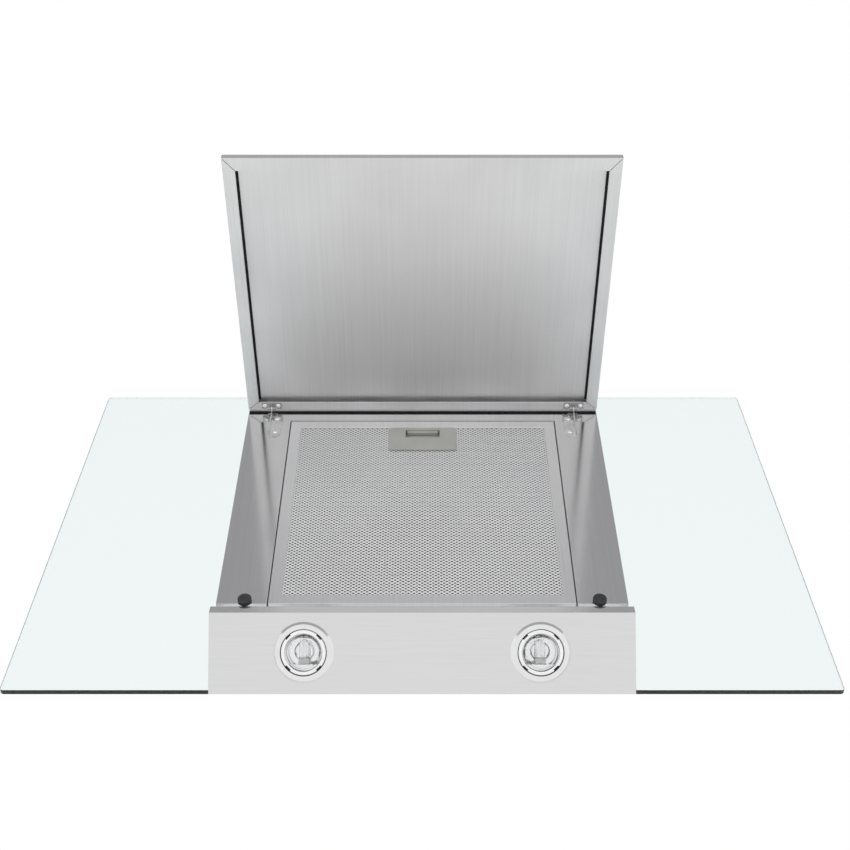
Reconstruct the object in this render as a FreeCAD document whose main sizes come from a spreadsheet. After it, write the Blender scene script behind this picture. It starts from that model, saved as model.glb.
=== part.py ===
import FreeCAD, Part
import math
import os
import re
import Sketcher
from FreeCAD import Placement, Rotation, Vector

# Inclined wall range hood: a clear glass canopy, a steel intake box whose sloping face
# carries a mesh grease filter, a hinged suction panel and a strip with two lamps.
# Axes: +X along the hood, -Y into the room, +Z up. The wall is the plane Y = 0 and the
# origin is the centre of the four wall-fixing holes. Sizes are in millimetres.

doc = FreeCAD.newDocument("WallHood")
sheet = doc.addObject("Spreadsheet::Sheet", "Sizes")

SIZES = (
    ("fixing_height", 260, "wall-hole centre above the underside of the lamp strip"),
    # glass canopy
    ("glass_width", 900, "glass along X"),
    ("glass_length", 579.5, "glass up its slope"),
    ("glass_thick", 6, "glass thickness"),
    ("glass_slope", 53.7, "glass angle above the horizontal"),
    ("glass_reach", 5.3, "lower room-side edge of the glass, out from the wall"),
    ("glass_rise", 1.9, "the same edge above the lamp strip"),
    ("glass_corner", 5, "corner radius of the glass"),
    ("gasket_thick", 2, "rubber between glass and steel"),
    ("vent_low", 100, "air opening in the glass, lower end up the slope"),
    ("vent_high", 385, "air opening, upper end up the slope"),
    ("vent_inset", 52, "air opening, in from the sides of the intake box"),
    ("stud_up_slope_low", 88, "lower glass screws up the slope"),
    ("stud_up_slope_high", 396, "upper glass screws up the slope"),
    ("stud_radius", 3, "glass screw shank"),
    ("stud_head", 6.5, "glass screw head radius"),
    # intake box
    ("slope_angle", 49.1, "filter face above the horizontal"),
    ("slope_reach", 95.3, "lower edge of the filter face, out from the wall"),
    ("slope_rise", 14.7, "lower edge of the filter face above the lamp strip"),
    ("box_width", 444, "intake box along X"),
    ("box_length", 348, "intake box up its slope"),
    ("box_sheet", 1.2, "steel of the intake box"),
    ("box_lip", 15, "flange of the box along the glass"),
    # grease filter
    ("filter_inset", 56, "filter frame, in from the sides of the intake box"),
    ("filter_front", 0.4, "lower edge of the filter up the slope"),
    ("filter_back", 318, "upper edge of the filter up the slope"),
    ("filter_thick", 10, "filter frame depth"),
    ("filter_border", 13.5, "visible width of the filter frame"),
    ("filter_skin", 1.2, "wall of the filter frame"),
    ("filter_gap", 1.1, "clearance round the filter"),
    ("mesh_sheet", 0.7, "perforated sheet"),
    ("seat_ledge", 9, "ledge that the filter rests on"),
    ("lift_travel", 13, "way that the filter comes out"),
    # filter handle and catch
    ("handle_width", 84, "handle plate along X"),
    ("handle_low", 261, "lower edge of the handle plate"),
    ("handle_high", 304.2, "upper edge of the handle plate"),
    ("handle_proud", 0.7, "handle plate above the filter face"),
    ("slot_width", 42.5, "finger slot along X"),
    ("slot_low", 284.8, "lower edge of the finger slot"),
    ("slot_high", 299.5, "upper edge of the finger slot"),
    ("cup_depth", 7, "finger cup below the filter face"),
    ("cup_wall", 1.5, "wall of the finger cup"),
    ("latch_width", 38, "latch bar along X"),
    ("latch_bar", 4, "latch bar up the slope"),
    ("tongue_width", 14, "latch tongue along X"),
    ("tongue_thick", 1.4, "latch tongue thickness"),
    ("latch_gap", 0.3, "clearance round the latch"),
    # lamp strip
    ("fascia_width", 454, "lamp strip along X"),
    ("fascia_reach", 87.6, "level part of the strip, out from the wall"),
    ("fascia_wall_gap", 1.5, "strip to wall"),
    ("fascia_sheet", 1.2, "steel of the strip"),
    ("fascia_lip", 11.2, "turned-up lip"),
    ("fascia_lean", 59.3, "lip above the horizontal"),
    ("lamp_spread", 126, "lamps, out from the middle"),
    ("lamp_reach", 45.4, "lamps, out from the wall"),
    # lamps
    ("bezel_outer", 32.35, "outer radius of the lamp bezel"),
    ("bezel_bore", 24.9, "inner radius of the lamp bezel"),
    ("bezel_drop", 2.4, "bezel below the strip"),
    ("bezel_neck", 12, "bezel neck above the strip"),
    ("neck_wall", 1.5, "wall of the bezel neck"),
    ("neck_gap", 0.4, "hole in the strip round the neck"),
    ("ring_outer", 24, "outer radius of the lens ring"),
    ("ring_bore", 20.2, "inner radius of the lens ring"),
    ("lens_thick", 2, "lens thickness"),
    ("reflector_drop", 3.2, "reflector rim above the strip"),
    ("reflector_top", 12.4, "reflector floor above the strip"),
    ("reflector_sheet", 0.6, "reflector thickness"),
    ("bulb_radius", 4.8, "capsule radius"),
    ("bulb_length", 17.5, "capsule length"),
    ("cover_travel", 16, "way that the lens cover comes down"),
    # suction panel
    ("panel_length", 356, "panel up its slope when shut"),
    ("panel_thick", 8, "panel depth"),
    ("panel_sheet", 1, "panel steel"),
    ("panel_flange", 14, "return flange down the sides of the panel"),
    ("panel_flange_far", 16, "return flange at the panel's free end"),
    ("panel_flange_near", 11.8, "return flange at the panel's hinged end"),
    ("panel_gap", 8, "air gap between the shut panel and the box"),
    ("open_angle", 88.7, "angle at which the panel stands open"),
    ("hinge_run", 336, "hinge axis up the slope"),
    ("hinge_stand", 7, "hinge axis above the filter face"),
    ("hinge_edge", 2.9, "panel edge past the hinge axis"),
    # hinges
    ("hinge_inset", 30, "hinges, in from the sides of the box"),
    ("pin_radius", 1.5, "hinge pin"),
    ("pin_play", 0.05, "running clearance round the pins"),
    ("blade_thick", 1.5, "upright of the hinge bracket"),
    ("blade_radius", 4, "rounded eye of the bracket"),
    ("base_low", 286.6, "lower end of the bracket foot"),
    ("base_high", 331.5, "upper end of the bracket foot"),
    ("base_width", 13, "bracket foot along X"),
    ("leaf_width", 25, "panel leaf along X"),
    ("leaf_length", 7.8, "panel leaf from the hinge axis"),
    ("leaf_screw_run", 4.2, "leaf screws from the hinge axis"),
    ("leaf_thick", 1.2, "hinge leaf steel"),
    ("knuckle_radius", 2.8, "hinge knuckle"),
    ("knuckle_span", 4.8, "outer end of a knuckle from the upright"),
    ("knuckle_gap", 1.5, "inner end of a knuckle from the upright"),
    ("screw_head", 3.6, "head radius of the hinge screws"),
    ("screw_rise", 1.6, "head height of the hinge screws"),
    ("screw_shank", 1.6, "shank radius of the hinge screws"),
    ("catch_inset", 31, "panel catches, in from the sides of the box"),
    ("catch_run", 3.6, "panel catches up the slope"),
    ("catch_radius", 7.5, "panel catch"),
    ("catch_height", 6.4, "panel catch above the filter face"),
    ("catch_dome", 20, "radius of its slightly domed top"),
    # blower
    ("plate_thick", 1.5, "wall plate"),
    ("casing_inset", 32, "blower casing, in from the sides of the intake box"),
    ("casing_low", 70, "lower end of the casing up the glass"),
    ("casing_high", 545, "upper end of the casing up the glass"),
    ("casing_sheet", 1, "blower casing steel"),
    ("hole_spread_across", 300, "wall holes apart along X"),
    ("hole_spread_up", 280, "wall holes apart along Z"),
    ("wall_hole", 4, "wall-hole radius"),
    ("fan_reach", 100, "fan axis out from the wall"),
    ("fan_rise", 320, "fan axis above the lamp strip"),
    ("scroll_width", 112, "inside width of the scroll"),
    ("scroll_radius", 78, "scroll radius at the tongue"),
    ("scroll_growth", 5, "scroll radius gained per quarter turn"),
    ("scroll_sheet", 1.2, "scroll wall"),
    ("wheel_radius", 69, "fan wheel"),
    ("wheel_inner", 55, "inner edge of the blades"),
    ("wheel_width", 98, "fan wheel along X"),
    ("wheel_rim", 3, "end ring of the wheel"),
    ("wheel_disc", 1.5, "back disc of the wheel"),
    ("blade_count", 24, "blades of the wheel"),
    ("blade_wall", 1.1, "blade thickness"),
    ("inlet_radius", 50, "throat of the air inlet"),
    ("inlet_depth", 9, "depth of the air inlet bell"),
    ("shaft_radius", 4, "motor shaft"),
    ("motor_radius", 40, "motor"),
    ("motor_length", 52, "motor along X"),
    ("outlet_radius", 74.5, "outside radius of the outlet collar"),
    ("outlet_wall", 1.5, "collar wall"),
    ("outlet_height", 60, "collar height"),
    ("outlet_flange", 88, "collar flange radius"),
    ("flap_height", 24, "flap axis above the casing"),
    ("flap_offset", 3.4, "flap axes from the collar's middle"),
    ("flap_thick", 0.8, "flap sheet"),
    ("flap_eye", 2.5, "flap knuckle radius"),
    ("flap_pin", 1.5, "flap pin radius"),
    # electrics
    ("control_width", 40, "control box along X"),
    ("control_depth", 62, "control box out from the wall"),
    ("control_height", 96, "control box height"),
    ("control_rise", 250, "control box above the lamp strip"),
    ("control_lid", 3, "control box lid"),
    ("capacitor_radius", 15, "motor capacitor"),
    ("capacitor_height", 62, "motor capacitor height"),
    ("capacitor_inset", 45, "capacitor, in from the side of the casing"),
    ("clip_wall", 1.2, "capacitor clip"),
    ("gland_inset", 40, "cable gland, in from the side of the casing"),
    ("gland_reach", 60, "cable gland out from the wall"),
    ("gland_radius", 8, "gland thread"),
    ("gland_bore", 4, "gland bore"),
)
for row, (alias, value, note) in enumerate(SIZES, 1):
    sheet.set(f"A{row}", alias)
    sheet.set(f"B{row}", str(value))
    sheet.setAlias(f"B{row}", alias)
    sheet.set(f"C{row}", note)
doc.recompute()
NAMES = {row[0] for row in SIZES}


# ---------------------------------------------------------------- drawing helpers
def cells(text):
    """Turns plain size names in a formula into references to the sheet's cells."""
    return re.sub(r"[a-z]\w+", lambda m: "Sizes." + m[0] if m[0] in NAMES else m[0], str(text))


def number(text):
    return float(sheet.evalExpression(cells(text)))


def tie(thing, **sizes):
    for name, text in sizes.items():
        thing.setExpression(name.replace("__", "."), cells(text))
    return thing


def angled(thing, base, angle, place):
    """Stands a piece, drawn flat, in a frame turned about X by angle at base (y, z)."""
    x, along, out = place
    thing.Placement = Placement(Vector(), Rotation(Vector(1, 0, 0), number(angle)))
    a = f"({angle})"
    thing.setExpression("Placement.Rotation.Angle", cells(angle))
    thing.setExpression("Placement.Base.x", cells(x))
    thing.setExpression(
        "Placement.Base.y", cells(f"{base[0]} + ({along}) * cos{a} - ({out}) * sin{a}"))
    thing.setExpression(
        "Placement.Base.z", cells(f"{base[1]} + ({along}) * sin{a} + ({out}) * cos{a}"))
    return thing


HERE = ("0", "0", "0")
SLOPE = ("0 - slope_reach", "slope_rise - fixing_height")
TILT = "180 - slope_angle"
PIVOT = (
    f"{SLOPE[0]} - hinge_run * cos(slope_angle) - hinge_stand * sin(slope_angle)",
    f"{SLOPE[1]} + hinge_run * sin(slope_angle) - hinge_stand * cos(slope_angle)",
)


def on_slope(thing, place=HERE):
    return angled(thing, SLOPE, TILT, place)


def on_glass(thing, place=HERE):
    return angled(thing, ("0 - glass_reach", "glass_rise - fixing_height"),
                  "180 - glass_slope", place)


def on_panel(thing, place=HERE):
    """The panel's frame starts on the hinge axis and is turned to the open stand."""
    return angled(thing, PIVOT, f"{TILT} - open_angle", place)


def upright(thing, x="0", reach="0", rise="0"):
    """Places a piece level: reach is out from the wall, rise above the lamp strip."""
    thing.setExpression("Placement.Base.x", cells(x))
    thing.setExpression("Placement.Base.y", cells(f"0 - ({reach})"))
    thing.setExpression("Placement.Base.z", cells(f"{rise} - fixing_height"))
    return thing


def body(label):
    made = doc.addObject("PartDesign::Body", label)
    made.Label = label
    return made


def sketch(owner, plane, height="0"):
    made = owner.newObject("Sketcher::SketchObject", "Sketch")
    face = [o for o in owner.Origin.OriginFeatures if o.Role == plane + "_Plane"][0]
    made.AttachmentSupport = (face, [""])
    made.MapMode = "FlatFace"
    if height != "0":
        made.setExpression("AttachmentOffset.Base.z", cells(height))
    return made


def hold(drawn, item, corner, x, y):
    """Dimensions one point of a sketch from the origin, each way by a formula."""
    for kind, text, axis in (("DistanceX", x, -2), ("DistanceY", y, -1)):
        if str(text) == "0":
            drawn.addConstraint(Sketcher.Constraint("PointOnObject", item, corner, axis))
        else:
            n = drawn.addConstraint(
                Sketcher.Constraint(kind, -1, 1, item, corner, number(text)))
            drawn.setExpression(f"Constraints[{n}]", cells(text))


def polygon(drawn, points):
    first = drawn.GeometryCount
    spots = [Vector(number(x), number(y), 0) for x, y in points]
    count = len(spots)
    for i in range(count):
        drawn.addGeometry(Part.LineSegment(spots[i], spots[(i + 1) % count]))
    for i in range(count):
        drawn.addConstraint(
            Sketcher.Constraint("Coincident", first + i, 2, first + (i + 1) % count, 1))
    for i, (x, y) in enumerate(points):
        hold(drawn, first + i, 1, x, y)
    return drawn


def rectangle(drawn, half, low, high, middle="0"):
    left, right = f"{middle} - ({half})", f"{middle} + {half}"
    return polygon(drawn, ((left, low), (right, low), (right, high), (left, high)))


def circle(drawn, x, y, radius):
    item = drawn.addGeometry(
        Part.Circle(Vector(number(x), number(y), 0), Vector(0, 0, 1), number(radius)))
    n = drawn.addConstraint(Sketcher.Constraint("Radius", item, number(radius)))
    drawn.setExpression(f"Constraints[{n}]", cells(radius))
    hold(drawn, item, 3, x, y)
    return drawn


def feature(kind, owner, drawn, length, side="", back=False):
    made = owner.newObject("PartDesign::" + kind, kind)
    made.Profile = drawn
    made.Length = number(length)
    made.setExpression("Length", cells(length))
    if side:
        made.SideType = side
    made.Reversed = back
    doc.recompute()
    return made


def pad(owner, drawn, length, side="", back=False):
    return feature("Pad", owner, drawn, length, side, back)


def pocket(owner, drawn, length, side="", back=False):
    """Cuts, and checks that the cut met the solid."""
    before = owner.Tip.Shape.Volume
    made = feature("Pocket", owner, drawn, length, side, back)
    if made.Shape.isNull() or made.Shape.Volume > before - 1e-6:
        raise RuntimeError(f"a cut in {owner.Label} meets nothing")
    return made


def turned(label, profile, plane="XZ"):
    """A piece turned about the sketch's upright axis from a closed profile."""
    made = body(label)
    drawn = polygon(sketch(made, plane), profile)
    turn = made.newObject("PartDesign::Revolution", "Revolution")
    turn.Profile = drawn
    turn.ReferenceAxis = (drawn, ["V_Axis"])
    turn.Angle = 360
    doc.recompute()
    return made


def block(x, y, z):
    made = doc.addObject("Part::Box", "Block")
    tie(made, Length=f"{x[1]} - ({x[0]})", Width=f"{y[1]} - ({y[0]})", Height=f"{z[1]} - ({z[0]})")
    tie(made, Placement__Base__x=x[0], Placement__Base__y=y[0], Placement__Base__z=z[0])
    return made


def rod(radius, length, at=HERE, axis="Z"):
    made = doc.addObject("Part::Cylinder", "Rod")
    tie(made, Radius=radius, Height=length)
    if axis == "X":
        made.Placement = Placement(Vector(), Rotation(Vector(0, 1, 0), 90))
    if axis == "Y":
        made.Placement = Placement(Vector(), Rotation(Vector(1, 0, 0), -90))
    tie(made, Placement__Base__x=at[0], Placement__Base__y=at[1], Placement__Base__z=at[2])
    return made


def joined(label, pieces):
    made = doc.addObject("Part::MultiFuse", label)
    made.Shapes = pieces
    made.Label = label
    return made


def less(label, base, tool):
    made = doc.addObject("Part::Cut", label)
    made.Base, made.Tool = base, tool
    made.Label = label
    return made


parts = []


def keep(*made):
    parts.extend(made)


# ---------------------------------------------------------------- shared geometry
# A point g up the glass and z out of its face, as reach from the wall and rise.
def glass_reach_at(g, z):
    return f"(glass_reach + ({g}) * cos(glass_slope) + ({z}) * sin(glass_slope))"


def glass_rise_at(g, z):
    return f"(glass_rise + ({g}) * sin(glass_slope) - ({z}) * cos(glass_slope))"


# The lower edge of the filter face in the glass's frame, and the box's depth to it.
FOOT_G = ("((slope_reach - glass_reach) * cos(glass_slope)"
          " + (slope_rise - glass_rise) * sin(glass_slope))")
FOOT_Z = ("((slope_reach - glass_reach) * sin(glass_slope)"
          " - (slope_rise - glass_rise) * cos(glass_slope))")
LEAN = "(glass_slope - slope_angle)"


def depth(run):
    """Depth of the intake box, from its face to the gasket on the glass."""
    return f"(({FOOT_Z} + ({run}) * sin{LEAN} - gasket_thick) / cos{LEAN})"


def box_on_glass(run):
    """Where the box's wall at that run meets the glass, up the glass."""
    return f"({FOOT_G} + ({run}) * cos{LEAN} + {depth(run)} * sin{LEAN})"


def slope_run_of(g):
    """Where a line square to the glass at g meets the box's flange, up the slope."""
    return f"((({g}) - {FOOT_G}) * cos{LEAN} + (gasket_thick - {FOOT_Z}) * sin{LEAN})"


STUD_X = "(box_width / 2 - box_lip / 2)"
HINGE_X = "(box_width / 2 - hinge_inset)"
CATCH_X = "(box_width / 2 - catch_inset)"
CASING_HALF = "(box_width / 2 - casing_inset)"
VENT_HALF = "(box_width / 2 - vent_inset)"
FILTER_HALF = "(box_width / 2 - filter_inset)"
LEAF_SCREW_X = "(leaf_width / 2 - 4)"
THROAT = "(scroll_radius + 3 * scroll_growth)"
OUTLET_REACH = f"(fan_reach + {THROAT} / 2)"
GLAND_X = f"({CASING_HALF} - gland_inset)"
CAPACITOR_X = f"({CASING_HALF} - capacitor_inset)"
STUD_RUNS = ("stud_up_slope_low", "stud_up_slope_high")
SEAT_DROP = "filter_thick + filter_gap / 4"
SCREWS = ((0, "base_low + 9"), (0, "base_high - 9.5"))

# ---------------------------------------------------------------- glass canopy
glass = body("glass_canopy")
drawn = rectangle(sketch(glass, "XY"), "glass_width / 2", "0", "glass_length")
rectangle(drawn, VENT_HALF, "vent_low", "vent_high")
for sign in ("0 - ", ""):
    for run in STUD_RUNS:
        circle(drawn, sign + STUD_X, run, "stud_radius + 0.5")
slab = pad(glass, drawn, "glass_thick", back=True)
corners = [f"Edge{i}" for i, e in enumerate(slab.Shape.Edges, 1)
           if abs(e.BoundBox.ZLength - number("glass_thick")) < 1e-6
           and abs(e.BoundBox.XLength) < 1e-6
           and abs(abs(e.CenterOfMass.x) - number("glass_width / 2")) < 1e-6]
rounding = glass.newObject("PartDesign::Fillet", "Corners")
rounding.Base = (slab, corners)
tie(rounding, Radius="glass_corner")
keep(on_glass(glass))

# Rubber frame between the glass and the intake box.
gasket = body("glass_gasket")
drawn = rectangle(sketch(gasket, "XY"), "box_width / 2", box_on_glass("0"), box_on_glass("box_length"))
rectangle(drawn, "box_width / 2 - box_lip", box_on_glass("0") + " + box_lip",
          box_on_glass("box_length") + " - box_lip")
for sign in ("0 - ", ""):
    for run in STUD_RUNS:
        circle(drawn, sign + STUD_X, run, "stud_radius + 0.5")
pad(gasket, drawn, "gasket_thick")
keep(on_glass(gasket))

# Four screws, from behind the glass into the flange of the box.
studs = []
for sign in ("0 - ", ""):
    for run in STUD_RUNS:
        at = sign + STUD_X
        studs.append(rod("stud_radius", "glass_thick + gasket_thick + 8",
                         (at, run, "0 - glass_thick - 1")))
        studs.append(rod("stud_head", "3", (at, run, "0 - glass_thick - 3")))
keep(on_glass(joined("glass_screws", studs)))

# ---------------------------------------------------------------- intake box
# Folded steel box: sloping face, four walls back to the glass, flange along the glass.
box = body("intake_box")
pad(box, polygon(sketch(box, "YZ"), (
    ("0", "0"), ("box_length", "0"),
    ("box_length", f"0 - {depth('box_length')}"), ("0", f"0 - {depth('0')}"),
)), "box_width", "Symmetric")
pocket(box, polygon(sketch(box, "YZ"), (
    ("box_sheet", "0 - box_sheet"), ("box_length - box_sheet", "0 - box_sheet"),
    ("box_length - box_sheet", f"0 - {depth('box_length - box_sheet')} + box_sheet"),
    ("box_sheet", f"0 - {depth('box_sheet')} + box_sheet"),
)), "box_width - 2 * box_sheet", "Symmetric")
pocket(box, polygon(sketch(box, "YZ"), (
    ("box_lip", "0 - box_lip - 8"), ("box_length - box_lip", "0 - box_lip - 8"),
    ("box_length - box_lip", f"0 - {depth('box_length')} - 10"), ("box_lip", f"0 - {depth('0')} - 10"),
)), "box_width - 2 * box_lip", "Symmetric")
# The filter's opening runs out through the top of the lower wall.
pocket(box, rectangle(sketch(box, "XY"), f"{FILTER_HALF} + filter_gap", "0 - 5",
                      "filter_back + filter_gap"), SEAT_DROP)
drawn = sketch(box, "XY")
for side in ("0 - ", ""):
    inner = "(blade_thick + base_width) / 2"
    foot = f"{side}({HINGE_X} - {inner})"
    for _, run in SCREWS:
        circle(drawn, foot, run, "screw_shank + 0.1")
pocket(box, drawn, "box_sheet + 1")
drawn = sketch(box, "XY", "0 - box_lip - 8")
for sign in ("0 - ", ""):
    for run in STUD_RUNS:
        circle(drawn, sign + STUD_X, slope_run_of(run), "stud_radius + 0.5")
pocket(box, drawn, depth("box_length"))
keep(on_slope(box))

# Ledge behind the opening that the filter rests on, with walls on three sides.
seat = body("filter_seat")
outer = f"{FILTER_HALF} + filter_gap + box_sheet"
high = "filter_back + filter_gap + box_sheet"
drawn = rectangle(sketch(seat, "XY", f"0 - ({SEAT_DROP}) - box_sheet"), outer, "box_sheet", high)
rectangle(drawn, f"{FILTER_HALF} - seat_ledge", "filter_front + seat_ledge", "filter_back - seat_ledge")
pad(seat, drawn, "box_sheet")
inner = f"{FILTER_HALF} + filter_gap"
drawn = polygon(sketch(seat, "XY", f"0 - ({SEAT_DROP})"), (
    (f"0 - ({outer})", "box_sheet"), (f"0 - ({inner})", "box_sheet"),
    (f"0 - ({inner})", "filter_back + filter_gap"), (inner, "filter_back + filter_gap"),
    (inner, "box_sheet"), (outer, "box_sheet"), (outer, high), (f"0 - ({outer})", high),
))
pad(seat, drawn, f"{SEAT_DROP} - box_sheet")
keep(on_slope(seat))

# ---------------------------------------------------------------- lamp strip
LIP_REACH = "(fascia_reach + fascia_lip * cos(fascia_lean))"
LIP_RISE = "(fascia_lip * sin(fascia_lean))"


def slope_reach_at(run, out):
    return f"(slope_reach + ({run}) * cos(slope_angle) + ({out}) * sin(slope_angle))"


def slope_rise_at(run, out):
    return f"(slope_rise + ({run}) * sin(slope_angle) - ({out}) * cos(slope_angle))"


fascia = body("lamp_fascia")
near_glass = f"5 - {depth('0')}"
pad(fascia, polygon(sketch(fascia, "YZ"), (
    ("0 - fascia_wall_gap", "0"), ("0 - fascia_reach", "0"), (f"0 - {LIP_REACH}", LIP_RISE),
    (f"0 - {slope_reach_at('0 - 0.8', '0 - 4')}", slope_rise_at("0 - 0.8", "0 - 4")),
    (f"0 - {slope_reach_at('0 - 0.8', near_glass)}", slope_rise_at("0 - 0.8", near_glass)),
    (f"0 - {glass_reach_at('3', '1.5')}", glass_rise_at("3", "1.5")),
    (f"0 - {glass_reach_at('3', '1.5')}", "fascia_sheet"), ("0 - fascia_wall_gap", "fascia_sheet"),
)), "fascia_width", "Symmetric")
inside = "(fascia_reach - fascia_sheet * tan(fascia_lean / 2))"
up = "(fascia_lip + 5)"
pocket(fascia, polygon(sketch(fascia, "YZ"), (
    ("5", "fascia_sheet"), (f"0 - {inside}", "fascia_sheet"),
    (f"0 - {inside} - {up} * cos(fascia_lean)", f"fascia_sheet + {up} * sin(fascia_lean)"),
    ("0 - fascia_reach - 30", "fascia_reach"), ("5", "fascia_reach"),
)), "fascia_width - 2 * fascia_sheet", "Symmetric")
drawn = sketch(fascia, "XY")
for side in ("0 - ", ""):
    circle(drawn, side + "lamp_spread", "0 - lamp_reach", "bezel_bore + neck_wall + neck_gap")
pocket(fascia, drawn, "fascia_sheet + 2", back=True)
keep(upright(fascia))

# ---------------------------------------------------------------- lamps
for name, side in (("left", "0 - "), ("right", "")):
    spot = (side + "lamp_spread", "lamp_reach")
    # Turned bezel: a low domed flange under the strip and a neck through it.
    bezel = turned(f"lamp_bezel_{name}", (
        ("bezel_bore", "0 - bezel_drop"), ("bezel_outer - 4", "0 - bezel_drop + 0.1"),
        ("bezel_outer - 1.2", "0 - bezel_drop + 0.7"), ("bezel_outer", "0 - bezel_drop + 1.8"),
        ("bezel_outer", "0"), ("bezel_bore + neck_wall", "0"),
        ("bezel_bore + neck_wall", "bezel_neck"), ("bezel_bore", "bezel_neck"),
    ))
    keep(upright(bezel, *spot))
    # Two sprung clips on the neck hold the lamp up in the strip.
    clips = body(f"lamp_clips_{name}")
    near = "bezel_bore + neck_wall"
    drawn = polygon(sketch(clips, "XZ"), (
        (near, "bezel_neck"), (near, "bezel_neck - 6"), (f"{near} + 3", "fascia_sheet"),
        (f"{near} + 3.8", "fascia_sheet"), (f"{near} + 0.8", "bezel_neck - 5.8"),
        (f"{near} + 0.8", "bezel_neck"),
    ))
    pad(clips, drawn, "7", "Symmetric")
    again = clips.newObject("PartDesign::PolarPattern", "Pair")
    again.Originals = [clips.Tip]
    again.Axis = (drawn, ["V_Axis"])
    again.Angle, again.Occurrences = 360, 2
    clips.Tip = again
    keep(upright(clips, *spot))
    # Reflector: a shallow pressed dish hung in the neck.
    deep = "reflector_top + reflector_sheet"
    keep(upright(turned(f"lamp_reflector_{name}", (
        ("0", "reflector_top"), ("ring_bore - 5", "reflector_top"),
        ("ring_bore - 2", "reflector_top - 1.4"),
        ("ring_bore + 2", "reflector_drop"), ("bezel_bore - 0.03", "reflector_drop"),
        ("bezel_bore - 0.03", "reflector_drop + reflector_sheet"),
        ("ring_bore + 2.5", "reflector_drop + reflector_sheet"),
        ("ring_bore - 1.4", "reflector_top - 1"), ("ring_bore - 4.6", deep), ("0", deep),
    )), *spot))
    # Ceramic socket under the dish and the two-pin capsule lying in it.
    axis_z = "reflector_top - 5.2"
    socket = block((f"{spot[0]} - 5.5", f"{spot[0]} + 5.5"), ("6.5 - lamp_reach", "14 - lamp_reach"),
                   ("reflector_top - 8.8 - fixing_height", "reflector_top - fixing_height"))
    socket.Label = f"lamp_socket_{name}"
    keep(socket)
    front = "(5.5 + bulb_radius - bulb_length)"
    tube = rod("bulb_radius", "bulb_length - bulb_radius", ("0", front, "0"), "Y")
    tip = doc.addObject("Part::Sphere", "Tip")
    tie(tip, Radius="bulb_radius", Placement__Base__y=front)
    pins = [rod("0.5", "1.2", (x, "5.3", "0"), "Y") for x in ("0 - 2", "2")]
    keep(upright(joined(f"lamp_bulb_{name}", [tube, tip] + pins), *spot, axis_z))
    # Lens ring with a step for the lens and four notches, and the lens on the step.
    ring = turned(f"lens_ring_{name}", (
        ("ring_bore", "0 - bezel_drop + 0.4"), ("ring_outer - 0.6", "0 - bezel_drop + 0.4"),
        ("ring_outer", "0 - bezel_drop + 1"), ("ring_outer", "lens_thick"),
        ("ring_bore + 1.2", "lens_thick"), ("ring_bore + 1.2", "0 - 0.8"), ("ring_bore", "0 - 0.8"),
    ))
    drawn = rectangle(sketch(ring, "XY", "0 - bezel_drop - 1"), "3.4", "ring_outer - 1.9", "ring_outer + 2")
    cut = pocket(ring, drawn, "bezel_drop + lens_thick + 2", back=True)
    again = ring.newObject("PartDesign::PolarPattern", "Notches")
    again.Originals = [cut]
    again.Axis = (drawn, ["N_Axis"])
    again.Angle, again.Occurrences = 360, 4
    ring.Tip = again
    ring.Placement = Placement(Vector(), Rotation(Vector(0, 0, 1), 45))
    keep(upright(ring, *spot))
    lens = rod("ring_bore + 1.1", "lens_thick", ("0", "0", "0"))
    lens.Label = f"lamp_lens_{name}"
    keep(upright(lens, *spot, "0 - 0.8"))

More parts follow.
